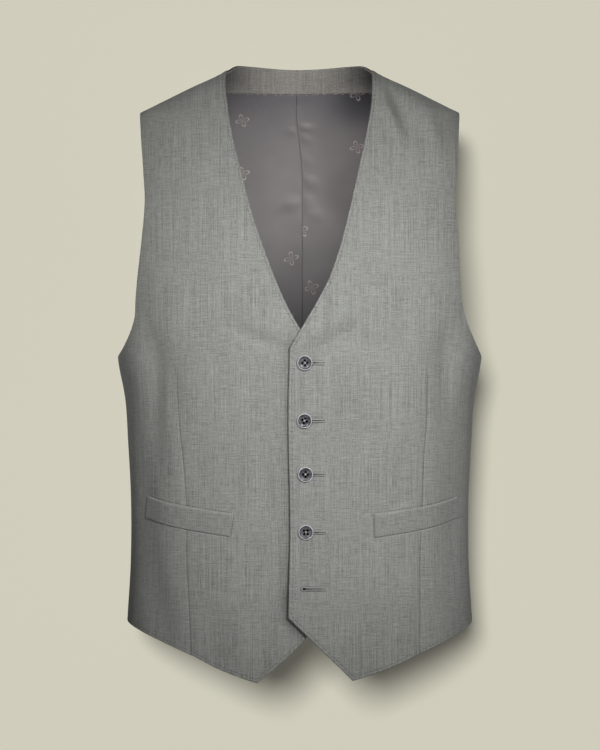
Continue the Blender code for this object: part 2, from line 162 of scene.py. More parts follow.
FRONT_ARMHOLE = curves((
    (-0.2913, 0.1845, 0.1845), (-0.2845, 0.1806, 0.1790), (-0.2746, 0.1752, 0.1732),
    (-0.2549, 0.1668, 0.1660), (-0.2351, 0.1618, 0.1641), (-0.2153, 0.1600, 0.1622),
    (-0.1755, 0.1582, 0.1577), (-0.1355, 0.1552, 0.1548), (-0.1050, 0.1575, 0.1568),
    (-0.0630, 0.1607, 0.1606), (-0.0440, 0.1620, 0.1620)))
BACK_ARMHOLE = curves((
    (-0.2913, 0.1845, 0.1845), (-0.2800, 0.1780, 0.1775), (-0.2650, 0.1690, 0.1690),
    (-0.2350, 0.1610, 0.1620), (-0.2000, 0.1575, 0.1590), (-0.1550, 0.1550, 0.1555),
    (-0.1050, 0.1560, 0.1560), (-0.0630, 0.1590, 0.1590), (-0.0440, 0.1620, 0.1620)))
DART = curves((
    (-0.582, 0.1187, 0.1074), (-0.548, 0.1194, 0.1090), (-0.490, 0.1198, 0.1120), (-0.438, 0.1217, 0.1120),
    (-0.393, 0.1232, 0.1155), (-0.348, 0.1262, 0.1205), (-0.298, 0.1271, 0.1222), (-0.022, 0.1180, 0.1180)))


def on(pair: tuple[Curve, Curve], side: Side) -> Curve:
    """The left or the right one of a pair of curves."""
    return pair[0] if side is Side.LEFT else pair[1]


@dataclass(frozen=True)
class Crease:
    """A soft ridge, or with a negative depth a trough, between two places on a piece of cloth.

    Each place is a distance round the body from the piece's centre line and a height.
    """

    start: tuple[float, float]
    end: tuple[float, float]
    width: float
    depth: float

    def lift(self, around: Array, heights: Array) -> Array:
        """Depth times a bell of the distance from the line, faded in and out along it."""
        along = np.subtract(self.end, self.start)
        from_start = np.stack([around - self.start[0], heights - self.start[1]], axis=-1)
        part = np.clip(from_start @ along / (along @ along), 0, 1)
        away = np.linalg.norm(from_start - part[..., None] * along, axis=-1)
        return self.depth * bell(away, self.width) * (0.35 + 0.65 * np.sin(np.pi * part))


def creases(*rows: tuple[float, ...]) -> tuple[Crease, ...]:
    """One crease for each row of its start, its end, its width and its depth."""
    return tuple(Crease(row[:2], row[2:4], *row[4:]) for row in rows)


@dataclass(frozen=True)
class BodyForm:
    """The rounded oblong body that every piece of cloth hangs round."""

    squareness: float = 0.03
    step: float = 1e-4

    def points(self, angles: Array, heights: Array) -> Array:
        """A closed rounded oblong at each height.

        Sideways it is the half width times (sin a + q sin 3a) / (1 - q), and forwards the front's or the
        back's depth times (cos a - q cos 3a) / (1 - q).
        """
        q = self.squareness
        sideways = (np.sin(angles) + q * np.sin(3 * angles)) / (1 - q)
        forward = (np.cos(angles) - q * np.cos(3 * angles)) / (1 - q)
        depth = np.where(forward > 0, FRONT_DEPTH(heights), BACK_DEPTH(heights))
        return np.stack([HALF_WIDTH(heights) * sideways, -depth * forward, heights + 0 * angles], axis=-1)

    def breadth(self, angles: Array, heights: Array) -> Array:
        """How far a point is from the middle plane."""
        return self.points(angles, heights)[..., 0]

    def normals(self, angles: Array, heights: Array) -> Array:
        """The cross product of the form's slopes round the body and upwards, made one long."""
        around = self.points(angles + self.step, heights) - self.points(angles - self.step, heights)
        upwards = self.points(angles, heights + self.step) - self.points(angles, heights - self.step)
        return unit(np.cross(around, upwards))

    def angle_at(self, breadths: Any, heights: Any) -> Array:
        """The front angle at a distance from the centre: Newton's method on the cubic in sin a."""
        q = self.squareness
        target = breadths / HALF_WIDTH(heights)
        sine = np.clip(target, -1, 1)
        for _ in range(8):
            value = ((1 + 3 * q) * sine - 4 * q * sine**3) / (1 - q)
            slope = ((1 + 3 * q) - 12 * q * sine**2) / (1 - q)
            sine = np.clip(sine - (value - target) / slope, -1, 1)
        return np.arcsin(sine)

    @cached_property
    def _arcs(self) -> tuple[Array, Array, Array]:
        """Heights, angles and the length round the body from the front, summed over short chords."""
        heights = np.linspace(-0.62, 0.014, 80)
        angles = np.linspace(-0.5, math.pi, 366)
        chords = np.linalg.norm(np.diff(self.points(angles[None, :], heights[:, None]), axis=1), axis=-1)
        lengths = np.concatenate([np.zeros((len(heights), 1)), np.cumsum(chords, axis=1)], axis=1)
        zero = np.searchsorted(angles, 0.0)
        return heights, angles, lengths - lengths[:, zero - 1:zero]

    def around(self, angles: Array, heights: Array) -> Array:
        """The length of cloth from the centre front, read between the entries of the table of arcs."""
        rows, columns, lengths = self._arcs
        row = np.clip((heights - rows[0]) / (rows[1] - rows[0]), 0, len(rows) - 1.001)
        column = np.clip((angles - columns[0]) / (columns[1] - columns[0]), 0, len(columns) - 1.001)
        i, j = row.astype(int), column.astype(int)
        low = mixed(lengths[i, j], lengths[i, j + 1], column - j)
        high = mixed(lengths[i + 1, j], lengths[i + 1, j + 1], column - j)
        return mixed(low, high, row - i)

    @cached_property
    def _falls(self) -> tuple[Array, Array]:
        """Heights and the length of cloth down the chest, summed over short chords."""
        heights = np.linspace(-0.62, 0.014, 400)
        chords = np.hypot(np.diff(heights), np.diff(FRONT_DEPTH(heights)))
        return heights, np.concatenate([[0.0], np.cumsum(chords)])

    def fall(self, heights: Array) -> Array:
        """The length of cloth up from the lowest height."""
        return np.interp(heights, *self._falls)


FORM = BodyForm()

# Heights at which the cut turns.
SHOULDER_TIP = -0.044
CHEST = -0.12
V_POINT = -0.283
UNDERARM = -0.2913
SIDE_BREAK = -0.520
EDGE_CORNER = -0.548

# The neck's end of the shoulder seam from the centre, and the seam's breadth.
NECK_BREADTH = 0.0740
SHOULDER_SPAN = 0.0880

# Half the angle left open at a seam, the gap between pieces that lie on one another, and how far the
# lining and the neck facing lie inside the form.
SEAM_GAP = 0.0001
GAP = 0.0003
LINING_DEPTH = 0.0015

# Shares of a row at which the steps beside an edge lie.
CLOSE_STEPS = (0.0, 0.0012, 0.0035, 0.007, 0.012, 0.020, 0.032)


# ---- meshes


def placed(name: str, data: bpy.types.ID) -> Object:
    """A new object in the scene for a mesh, a lamp or a camera."""
    made = bpy.data.objects.new(name, data)
    bpy.context.scene.collection.objects.link(made)
    return made


@dataclass
class MeshData:
    """Points, four-cornered faces and what goes with them, before they become an object.

    A triangle is a face whose last two corners are the same.
    """

    points: Array
    faces: Array
    uv: Array | None = None
    finish: Array | None = None
    marks: dict[str, Array] = field(default_factory=dict)

    def __add__(self, other: "MeshData") -> "MeshData":
        """Two meshes side by side in one."""
        uv = None if self.uv is None or other.uv is None else np.concatenate([self.uv, other.uv])
        return MeshData(np.concatenate([self.points, other.points]),
                        np.concatenate([self.faces, other.faces + len(self.points)]), uv)

    def build(self, name: str, *materials: Material) -> Object:
        """Puts the arrays into a new smooth object at the origin.

        Args:
            name: The piece's name.
            materials: Its finishes, which self.finish numbers for each face.

        Returns:
            The object, linked to the scene.
        """
        mesh = bpy.data.meshes.new(name)
        mesh.vertices.add(len(self.points))
        mesh.vertices.foreach_set("co", self.points.astype(np.float32).ravel())
        corners = self.faces.astype(np.int32)
        real = corners[:, 3] != corners[:, 2]
        loops = corners[np.stack([np.ones(len(real), bool)] * 3 + [real], axis=1)]
        totals = np.where(real, 4, 3)
        mesh.loops.add(len(loops))
        mesh.loops.foreach_set("vertex_index", loops)
        mesh.polygons.add(len(corners))
        starts = np.concatenate([[0], np.cumsum(totals)[:-1]])
        mesh.polygons.foreach_set("loop_start", starts.astype(np.int32))
        if self.finish is not None:
            mesh.polygons.foreach_set("material_index", self.finish.astype(np.int32))
        mesh.update(calc_edges=True)
        if self.uv is not None:
            layer = mesh.uv_layers.new(name="cloth")
            layer.data.foreach_set("uv", self.uv[loops].astype(np.float32).ravel())
        for mark, values in self.marks.items():
            mesh.attributes.new(mark, "FLOAT", "POINT").data.foreach_set("value", values.astype(np.float32))
        for material in materials:
            mesh.materials.append(material)
        mesh.shade_smooth()
        mesh.validate()
        return placed(name, mesh)


def grid_faces(rows: int, columns: int, start: int = 0) -> Array:
    """The squares between neighbouring points of a grid, down then across."""
    index = start + np.arange(rows * columns).reshape(rows, columns)
    return np.stack([index[:-1, :-1], index[1:, :-1], index[1:, 1:], index[:-1, 1:]], axis=-1).reshape(-1, 4)


def fan(first: Array, second: Array, tip: int) -> Array:
    """Triangles from each pair of two rings' points to one tip."""
    tips = np.full(len(first), tip)
    return np.stack([first, second, tips, tips], axis=-1)


def tubes(lines: Array, ups: Array, radii: Array, sides: int = 6) -> MeshData:
    """Round threads along many lines at once.

    Args:
        lines: Points of each line, lines x stations x 3.
        ups: One upward direction for each line, lines x 3.
        radii: The thread's radius at each station, lines x stations.
        sides: Sides of the thread.

    Returns:
        Each station's ring is the line's point plus radius times (cos t up + sin t across).
    """
    count, stations = lines.shape[:2]
    along = unit(np.gradient(lines, axis=1))
    across = unit(np.cross(along, ups[:, None, :]))
    upward = np.cross(across, along)
    turn = turns(sides)
    ring = np.cos(turn)[:, None] * upward[:, :, None, :] + np.sin(turn)[:, None] * across[:, :, None, :]
    points = lines[:, :, None, :] + radii[:, :, None, None] * ring
    index = np.arange(count * stations * sides).reshape(count, stations, sides)
    turned = np.roll(index, -1, axis=2)
    faces = np.stack([index[:, :-1], index[:, 1:], turned[:, 1:], turned[:, :-1]], axis=-1).reshape(-1, 4)
    ends = []
    for station, order in ((0, 1), (stations - 1, -1)):
        rim = index[:, station, ::order]
        for corner in range(1, sides - 1, 2):
            last = min(corner + 2, sides - 1)
            ends.append(np.stack([rim[:, 0], rim[:, corner], rim[:, corner + 1], rim[:, last]], axis=-1))
    faces = np.concatenate([faces, *ends])
    return MeshData(points.reshape(-1, 3), faces)


def stitches(centres: Array, along: Array, up: Array, length: Any, radius: float) -> MeshData:
    """Short threads that rise out of the cloth and dip back into it.

    Args:
        centres: The middle of each stitch.
        along: Its direction.
        up: The cloth's outward direction.
        length: Its length, one or one for each.
        radius: The thread's radius.

    Returns:
        Each thread bows up by radius (0.9 cos(pi p / 2) - 0.75) for p from -1 to 1 along it, and its
        radius narrows to its ends as sqrt(1.02 - 0.9 p^2).
    """
    part = np.linspace(-1, 1, 7)
    length = np.broadcast_to(length, len(centres))
    bow = radius * (0.9 * np.cos(part * np.pi / 2) - 0.75)
    lines = (centres[:, None, :] + 0.5 * length[:, None, None] * part[None, :, None] * along[:, None, :]
             + bow[None, :, None] * up[:, None, :])
    radii = np.broadcast_to(radius * np.sqrt(1.02 - part**2 * 0.9), lines.shape[:2])
    return tubes(lines, up, radii)


# ---- node graphs


class Tone:
    """A socket that holds a value, with Python's operators as Math nodes."""

    def __init__(self, graph: "Graph", socket: Socket) -> None:
        """Keeps the graph that new nodes go to."""
        self.graph = graph
        self.socket = socket

    def __add__(self, other: Any) -> "Tone":
        """self + other"""
        return self.graph.maths("ADD", self, other)

    __radd__ = __add__

    def __sub__(self, other: Any) -> "Tone":
        """self - other"""
        return self.graph.maths("SUBTRACT", self, other)

    def __rsub__(self, other: Any) -> "Tone":
        """other - self"""
        return self.graph.maths("SUBTRACT", other, self)

    def __mul__(self, other: Any) -> "Tone":
        """self times other"""
        return self.graph.maths("MULTIPLY", self, other)

    __rmul__ = __mul__

    def __truediv__(self, other: Any) -> "Tone":
        """self over other"""
        return self.graph.maths("DIVIDE", self, other)

    def __rtruediv__(self, other: Any) -> "Tone":
        """other over self"""
        return self.graph.maths("DIVIDE", other, self)

    def __pow__(self, other: Any) -> "Tone":
        """self to a power"""
        return self.graph.maths("POWER", self, other)

    def __lt__(self, other: Any) -> "Tone":
        """1 where self is the smaller"""
        return self.graph.maths("LESS_THAN", self, other)

    def __abs__(self) -> "Tone":
        """The size of self"""
        return self.graph.maths("ABSOLUTE", self)

    def __mod__(self, other: Any) -> "Tone":
        """What is left after whole steps of other"""
        return self.graph.maths("FLOORED_MODULO", self, other)


class Graph:
    """The nodes of one material."""

    def __init__(self, name: str) -> None:
        """Starts a material with a Principled shader and its output."""
        self.material = bpy.data.materials.new(name)
        self.material.use_nodes = True
        self.tree = self.material.node_tree
        self.shader = self.tree.nodes["Principled BSDF"]

    def node(self, kind: str, settings: Mapping[str, Any] | None = None,
             inputs: Mapping[Any, Any] | None = None) -> bpy.types.Node:
        """Adds one node.

        Args:
            kind: The node's type.
            settings: Its own settings, set first.
            inputs: Values or links for its sockets, by name or number.

        Returns:
            The node.
        """
        made = self.tree.nodes.new(kind)
        for name, value in (settings or {}).items():
            setattr(made, name, value)
        for name, value in (inputs or {}).items():
            self.feed(made.inputs[name], value)
        return made

    def feed(self, socket: Socket, value: Any) -> None:
        """Links a Tone or a socket, or sets a plain value."""
        if isinstance(value, Tone):
            value = value.socket
        if isinstance(value, Socket):
            self.tree.links.new(value, socket)
        elif isinstance(value, tuple) and socket.type == "RGBA":
            socket.default_value = (*value[:3], 1.0)
        else:
            socket.default_value = value

    def maths(self, operation: str, *values: Any, clamp: bool = False) -> Tone:
        """One Math node."""
        return self.tone(self.node("ShaderNodeMath", {"operation": operation, "use_clamp": clamp},
                                   dict(enumerate(values))))

    def tone(self, node: bpy.types.Node, output: Any = 0) -> Tone:
        """One output of a node as a Tone."""
        return Tone(self, node.outputs[output])

    def ramp(self, value: Any, start: float, end: float, low: float = 0.0, high: float = 1.0) -> Tone:
        """Goes smoothly from low to high as the value goes from start to end."""
        return self.tone(self.node(
            "ShaderNodeMapRange", {"interpolation_type": "SMOOTHSTEP"},
            {"Value": value, "From Min": start, "From Max": end, "To Min": low, "To Max": high}))

    def noise(self, where: Any, scale: float, detail: float = 2.0, rough: float = 0.5) -> Tone:
        """Noise from 0 to 1, even on average."""
        return self.tone(self.node("ShaderNodeTexNoise", {"noise_dimensions": "3D"},
                                   {"Vector": where, "Scale": scale, "Detail": detail, "Roughness": rough}))

    def woven(self, place: tuple[Tone, Tone], rates: tuple[float, float], seed: float,
              detail: float = 2.0, rough: float = 0.6) -> Tone:
        """Noise over the cloth, drawn out into threads where its rates across and up differ.

        Args:
            place: Millimetres across and up the cloth.
            rates: Changes for a millimetre across and up.
            seed: A place of its own in the noise.
            detail: Its finer layers.
            rough: The strength of each finer layer.

        Returns:
            The noise, from 0 to 1.
        """
        across, up = place
        return self.noise(self.vector(across * rates[0], up * rates[1], seed), 1.0, detail, rough)

    def vector(self, x: Any, y: Any, z: Any = 0.0) -> Socket:
        """Three values as a vector."""
        return self.node("ShaderNodeCombineXYZ", None, {0: x, 1: y, 2: z}).outputs[0]

    def mix(self, part: Any, first: Any, second: Any) -> Socket:
        """A part of the way from the first colour to the second."""
        return self.node("ShaderNodeMix", {"data_type": "RGBA"}, {0: part, 6: first, 7: second}).outputs[2]

    def scaled(self, colour: Any, by: Any) -> Socket:
        """A colour made lighter or darker."""
        return self.node("ShaderNodeVectorMath", {"operation": "SCALE"}, {0: colour, "Scale": by}).outputs[0]

    def cloth_place(self) -> tuple[Tone, Tone]:
        """Millimetres across and up the cloth, from the piece's UV map."""
        uv = self.node("ShaderNodeUVMap", {"uv_map": "cloth"})
        split = self.node("ShaderNodeSeparateXYZ", None, {0: uv.outputs[0]})
        return self.tone(split, 0) * 1000.0, self.tone(split, 1) * 1000.0

    def mark(self, name: str) -> Tone:
        """A piece's own attribute."""
        return self.tone(self.node("ShaderNodeAttribute", {"attribute_name": name}), "Fac")

    def bump(self, height: Any, strength: float, distance: float) -> None:
        """Feeds the shader's normal from a height in units of the distance."""
        made = self.node("ShaderNodeBump", None,
                         {"Height": height, "Strength": strength, "Distance": distance})
        self.feed(self.shader.inputs["Normal"], made.outputs[0])

    def set(self, **values: Any) -> None:
        """Sets or links the shader's sockets, named with underscores."""
        for name, value in values.items():
            self.feed(self.shader.inputs[name.replace("_", " ")], value)


@dataclass(frozen=True)
class Buttonhole:
    """Where one buttonhole is worked: the eyelet's breadth, the height and the end's breadth."""

    eye: float
    height: float
    end: float


BUTTONHOLES = (Buttonhole(0.0050, -0.2976, 0.0252), Buttonhole(0.0047, -0.3538, 0.0250),
               Buttonhole(0.0057, -0.4067, 0.0256), Buttonhole(0.0060, -0.4639, 0.0262),
               Buttonhole(0.0034, -0.5197, 0.0256))


@dataclass(frozen=True)
class Suiting:
    """Fine grey wool with slubbed light and dark threads both ways."""

    name: str = "suit_cloth"
    colour: Triple = (0.352, 0.357, 0.333)
    warp_tone: float = 1.20
    weft_tone: float = 1.12
    speckle: float = 1.12
    yarn_mm: float = 0.62
    seam_depth: float = 0.34
    shade_depth: float = 0.36
    fold_tone: float = 0.27
    prick_shade_depth: float = 0.62
    buttonhole_shade_depth: float = 0.66
    stitch_step_mm: float = 5.6
    stitch_inset_mm: float = 3.0
    stitched: bool = False
    holed: bool = False

    def build(self) -> Material:
        """Base colour times one plus streaks along each thread direction, speckle, sewn marks, painted shade
        and a painted highlight.

        Returns:
            The material.
        """
        g = Graph(self.name)
        place = across, up = g.cloth_place()
        warp = g.woven(place, (1.15, 0.012), 3.0, 3.0, 0.62)
        warp_fine = g.woven(place, (2.1, 0.09), 11.0)
        weft = g.woven(place, (0.034, 1.1), 7.0, 3.0, 0.62)
        weft_fine = g.woven(place, (0.10, 1.9), 19.0)
        block = g.ramp(g.woven(place, (0.06, 0.05), 23.0, 1.0, 0.5), 0.36, 0.64)
        speckle = g.woven(place, (1.9, 0.62), 5.0, 2.0, 0.7)
        patch = g.woven(place, (0.02, 0.02), 2.0, 2.0, 0.5)
        twill, yarn_across, yarn_up = (self._yarns(run) for run in (across + up, across, up))
        upright = (warp * 0.9 + warp_fine * 0.8 - 0.85) * (0.8 + block * 0.4) * self.warp_tone
        level = (weft * 0.65 + weft_fine * 0.8 - 0.725) * (1.2 - block * 0.4) * self.weft_tone
        tone = (1.0 + upright + level + (speckle - 0.5) * self.speckle + (patch - 0.5) * 0.12
                + (twill - 0.5) * 0.12)
        relief = yarn_across * yarn_up * 0.45 + twill * 0.4 + warp * 0.5 + weft * 0.4
        tone = tone * (1.0 - g.mark("seam") * self.seam_depth)
        # Painted shade from the shade mark, the left front's shadow on the right front, and a painted
        # highlight along the welts' folded top edges.
        tone = tone * (1.0 - g.mark("shade") * self.shade_depth) * (1.0 + g.mark("fold") * self.fold_tone)
        if self.stitched:
            inset, run = g.mark("edge_off") * 1000.0, g.mark("edge_run") * 1000.0
            off_stitch = abs((run % self.stitch_step_mm) - self.stitch_step_mm / 2)
            off_row = abs(inset - self.stitch_inset_mm)
            pulled = g.ramp(off_stitch, 1.9, 0.6) * g.ramp(off_row, 1.15, 0.15)
            prick_shade = g.ramp(abs(off_stitch - 1.15), 0.55, 0.1) * g.ramp(off_row, 0.6, 0.1)
            puffed = g.ramp(inset, 3.0, 0.9)
            rough_edge = g.woven((run, inset), (0.9, 0.9), 31.0, 1.0, 0.5) - 0.5
            # Painted shade in the prick holes and where the stitches pull the cloth in.
            tone = tone * (1.0 - prick_shade * self.prick_shade_depth) * (1.0 - pulled * 0.08)
            tone = tone * (1.0 + rough_edge * puffed * 0.75)
            relief = relief - pulled * 6.0 + puffed * off_stitch * 1.1
        if self.holed:
            # Painted shade round each buttonhole.
            outline = self._buttonhole_shade(g, across, up)
            tone = tone * (1.0 - outline * self.buttonhole_shade_depth)
            relief = relief - outline * 2.0
        g.set(Base_Color=g.scaled(self.colour, tone), Roughness=0.88 - warp * 0.1,
              Sheen_Weight=0.16, Sheen_Roughness=0.45, Specular_IOR_Level=0.22)
        g.bump(relief, strength=0.5, distance=0.00022)
        return g.material

    def _yarns(self, run: Tone) -> Tone:
        """1 at each whole yarn and 0 halfway to the next, in straight lines."""
        return abs((run % self.yarn_mm) / self.yarn_mm - 0.5) * 2.0

    @staticmethod
    def _buttonhole_shade(g: Graph, across: Tone, up: Tone) -> Tone:
        """Painted shade in a soft line 2.2 mm round each buttonhole's slit, where the raised stitches shade
        the cloth.

        It is painted fainter over the slit than under it, as the light falls from above, and fades towards
        the slit's end.
        """
        outline: Any = 0.0
        for hole in BUTTONHOLES:
            level = float(FORM.fall(np.array(hole.height))) * 1000
            middle, half = (hole.eye + hole.end) * 500, (hole.end - hole.eye) * 500
            beyond = g.maths("MAXIMUM", abs(across - middle) - half, 0.0)
            away = (beyond * beyond + (up - level) * (up - level)) ** 0.5
            fade = g.ramp(across, hole.end * 1000 + 0.6, hole.end * 1000 - 3.0, 0.15, 1.0)
            line = g.ramp(abs(away - 2.2), 0.62, 0.12) * g.ramp(up - level, 2.2, -1.0, 0.38, 1.0)
            outline = outline + line * fade
        return g.maths("MINIMUM", outline, 1.0)


@dataclass(frozen=True)
class Satin:
    """Soft satin with a fine crosswise thread and a scattered sprig of four small leaves."""

    name: str = "satin_lining"
    colour: Triple = (0.302, 0.298, 0.308)
    shaded: Triple = (0.285, 0.292, 0.330)
    light: Triple = (0.78, 0.71, 0.66)
    seam_depth: float = 0.17
    shade_depth: float = 0.62
    figured: bool = True
    step_across_mm: float = 74.0
    step_up_mm: float = 62.0

    def build(self) -> Material:
        """Base colour times a fine thread tone and painted shade, with the sprigs mixed in lighter.

        Returns:
            The material.
        """
        g = Graph(self.name)
        place = across, up = g.cloth_place()
        thread = g.woven(place, (0.09, 2.6), 1.0)
        cloud = g.woven(place, (0.022, 0.022), 4.0, 2.0, 0.5)
        tone = (1.0 + (thread - 0.5) * 0.16 + (cloud - 0.5) * 0.36) * (1.0 - g.mark("seam") * self.seam_depth)
        # Painted shade: darker and bluer where the shade mark lies, under the neck facing and in the top
        # outer corner.
        shade = g.mark("shade")
        base = g.scaled(g.mix(shade, self.colour, self.shaded), tone * (1.0 - shade * self.shade_depth))
        rough: Any = 0.40 + thread * 0.08
        if self.figured:
            sprig = self._sprig(g, across, up)
            worn = g.ramp(g.woven(place, (0.9, 0.9), 9.0), 0.38, 0.56, 0.25, 1.0)
            base = g.mix(sprig * worn * 0.95, base, self.light)
            rough = rough + sprig * 0.2
        g.set(Base_Color=base, Roughness=rough, Specular_IOR_Level=0.42, Sheen_Weight=0.08)
        g.bump(thread, strength=0.25, distance=0.0001)
        return g.material

    def _sprig(self, g: Graph, across: Tone, up: Tone) -> Tone:
        """Leaf outlines in a half-drop repeat: four leaves r = 7 |cos(2a + 0.6)| mm, as a thin line."""
        column = g.maths("FLOOR", across / self.step_across_mm)
        drop = (column % 2.0) * (self.step_up_mm / 2)
        x = across % self.step_across_mm - self.step_across_mm / 2
        y = (up + drop) % self.step_up_mm - self.step_up_mm / 2
        radius = (x * x + y * y) ** 0.5
        turn = g.maths("ARCTAN2", y, x)
        leaf = abs(g.maths("COSINE", turn * 2.0 + 0.6)) * 7.0
        outline = g.ramp(abs(radius - leaf), 1.15, 0.35) * g.ramp(radius, 0.8, 1.6)
        vein = g.ramp(abs(g.maths("SINE", turn * 2.0 + 0.6)) * radius, 0.6, 0.15) * (radius < 4.0)
        return g.maths("MAXIMUM", outline, vein * 0.7)


@dataclass(frozen=True)
class Horn:
    """Dark blue-grey horn with cloudy streaks and a painted highlight on the rim."""

    name: str = "button_horn"
    dark: Triple = (0.040, 0.040, 0.048)
    pale: Triple = (0.780, 0.780, 0.820)
    rim_highlight: float = 0.80

    def build(self) -> Material:
        """A colour between dark and pale horn from stretched noise, with a painted highlight on the rim.

        Returns:
            The material.
        """
        g = Graph(self.name)
        place = g.node("ShaderNodeTexCoord").outputs["Object"]
        bent = g.node("ShaderNodeMapping", None, {"Vector": place, "Scale": (160.0, 160.0, 420.0)})
        streak = g.noise(bent.outputs[0], 1.0, 4.0, 0.6)
        grain = g.noise(place, 1900.0, 2.0, 0.5)
        cloudy = g.ramp(streak, 0.32, 0.70) * 0.17 + (grain - 0.5) * 0.1
        # The rim mark paints a highlight on the rim's crest.
        part = g.maths("ADD", cloudy, g.mark("rim") * self.rim_highlight, clamp=True)
        g.set(Base_Color=g.mix(part, self.dark, self.pale), Roughness=0.34 + grain * 0.14,
              Coat_Weight=0.9, Coat_Roughness=0.16)
        g.bump(grain, strength=0.15, distance=0.0001)
        return g.material


@dataclass(frozen=True)
class Thread:
    """Twisted sewing thread, and the same finish for the dark and pale lines of painted shade and painted
    light.
    """

    name: str
    colour: Triple
    sheen: float = 0.2

    def build(self) -> Material:
        """One colour with a fine twist as tone and bump.

        Returns:
            The material.
        """
        g = Graph(self.name)
        place = g.node("ShaderNodeTexCoord").outputs["Object"]
        twist = g.noise(place, 3200.0, 2.0, 0.6)
        g.set(Base_Color=g.scaled(self.colour, 0.85 + twist * 0.3), Roughness=0.6 + twist * 0.15,
              Sheen_Weight=self.sheen, Specular_IOR_Level=0.1 + self.sheen)
        g.bump(twist, strength=0.3, distance=0.0001)
        return g.material


# ---- cloth pieces


@dataclass
class Patch:
    """A grid of places on the form, with marks for the finish."""

    angles: Array
    heights: Array
    marks: dict[str, Array] = field(default_factory=dict)


@dataclass
class Edge:
    """A finished edge in order: places on the form and the run of cloth along it."""

    angles: Array
    heights: Array
    run: Array


class Cloth:
    """A cut piece of cloth on one side of the body form."""

    name = "{}_cloth"
    wall = 0.002
    round_off = 0.0010
    border_depth = 0.0010
    hand: Mapping[Side, tuple[Crease, ...]] = {}

    def __init__(self, side: Side) -> None:
        """Keeps the side it is cut for, puts it in the piece's name and takes that side's creases."""
        self.side = side
        self.name = self.name.format(side.word)
        self.creases = self.hand.get(side, ())

    def lift(self, angles: Array, heights: Array) -> Array:
        """How far the cloth stands out from the form: the sum of its creases, none at a seam."""
        around = self.crease_place(angles, heights)
        total = np.zeros(np.broadcast(angles, heights).shape)
        for crease in self.creases:
            total = total + crease.lift(around, heights)
        return total * self.seam_fade(angles, heights)

    @staticmethod
    def seam_fade(angles: Array, heights: Array) -> Array:
        """0 at the shoulder seam and, below the armhole, at the side seam, to 1 about 2 cm away."""
        part = np.clip((FORM.breadth(angles, heights) - NECK_BREADTH) / SHOULDER_SPAN, 0, 1)
        shoulder = smoothstep(0.001, 0.020, SHOULDER_TIP * part - heights)
        side = smoothstep(0.0, 0.10, np.abs(angles - math.pi / 2))
        return shoulder * mixed(1.0, side, smoothstep(-0.262, -0.285, heights))

    def crease_place(self, angles: Array, heights: Array) -> Array:
        """How far round the piece its creases are placed."""
        return self.distance(angles, heights)

    def distance(self, angles: Array, heights: Array) -> Array:
        """Cloth from the centre front, measured at a height no higher than the chest."""
        low = np.minimum(heights, CHEST)
        breadth = FORM.breadth(angles, heights)
        flat = FORM.around(FORM.angle_at(breadth, low), low)
        return np.where((heights > CHEST) & (angles < math.pi / 2), flat, FORM.around(angles, heights))

    def surface(self, angles: Any, heights: Any, raised: Any = 0.0) -> Array:
        """Form point plus the form's normal times lift and raise, mirrored for the right side."""
        angles, heights = np.asarray(angles, float), np.asarray(heights, float)
        lift = self.lift(angles, heights) + raised
        points = FORM.points(angles, heights) + FORM.normals(angles, heights) * lift[..., None]
        return points * self.side.mirror

    def slopes(self, angles: Array, heights: Array) -> tuple[Array, Array]:
        """The surface's change for a radian round the body and for a metre up."""
        step = 2e-4
        around = (self.surface(angles + step, heights) - self.surface(angles - step, heights)) / (2 * step)
        upward = (self.surface(angles, heights + step) - self.surface(angles, heights - step)) / (2 * step)
        return around, upward

    def outward(self, angles: Array, heights: Array) -> Array:
        """The cross product of the surface's own slopes, pointing away from the body."""
        around, upward = self.slopes(angles, heights)
        return unit(np.cross(around, upward)) * self.side.value

    def uv(self, angles: Array, heights: Array) -> Array:
        """Cloth across from the centre front, negative on the right, and up from the lowest height."""
        return np.stack([self.side.value * self.distance(angles, heights), FORM.fall(heights)], axis=-1)

    def shell(self, patches: Sequence[Patch], edge: Edge | None = None, inner_finish: int = 0,
              facing: float = 0.0) -> MeshData:
        """A closed wall with rounded edges.

        The outer points lie on the surface and the inner ones a wall further in. Near the border both
        turn in along a quarter ellipse, b (1 - sqrt(1 - (1 - d/r)^2)) for distance d, radius r and the
        depth b at which they meet.

        Args:
            patches: Grids with the same marks, sewn where their points coincide.
            edge: The finished edge, for marks of the distance from it and the run along it.
            inner_finish: The finish of the inner faces.
            facing: Breadth from the edge in which the inner faces keep the outer finish.

        Returns:
            The mesh, with its marks.
        """
        outer = np.concatenate([self.surface(p.angles, p.heights).reshape(-1, 3) for p in patches])
        normals = np.concatenate([FORM.normals(p.angles, p.heights).reshape(-1, 3) for p in patches])
        normals = normals * self.side.mirror
        uv = np.concatenate([self.uv(p.angles, p.heights).reshape(-1, 2) for p in patches])
        marks = {name: np.concatenate([p.marks[name].ravel() for p in patches]) for name in patches[0].marks}
        quads, start = [], 0
        for p in patches:
            quads.append(grid_faces(*p.angles.shape, start))
            start += p.angles.size
        _, first, sewn = np.unique(np.round(outer / 2e-6), axis=0, return_index=True, return_inverse=True)
        quads = sewn.reshape(-1)[np.concatenate(quads)]
        outer, normals, uv = outer[first], normals[first], uv[first]
        marks = {name: values[first] for name, values in marks.items()}

        edges = np.concatenate([np.roll(quads, -turn, axis=1)[:, :2] for turn in range(4)])
        edges = edges[edges[:, 0] != edges[:, 1]]
        _, where, times = np.unique(np.sort(edges, axis=1), axis=0, return_index=True, return_counts=True)
        border = edges[where[times == 1]]
        away, _ = nearest(outer, outer[border[:, 0]], outer[border[:, 1]])
        on_border = np.zeros(len(outer), bool)
        on_border[border.ravel()] = True
        away[on_border] = 0.0
        inward = 1 - np.clip(away / self.round_off, 0, 1)
        turned = 1 - np.sqrt(1 - inward**2)
        inner = outer - normals * (self.wall - (self.wall - self.border_depth) * turned)[:, None]
        outer = outer - normals * (self.border_depth * turned)[:, None]

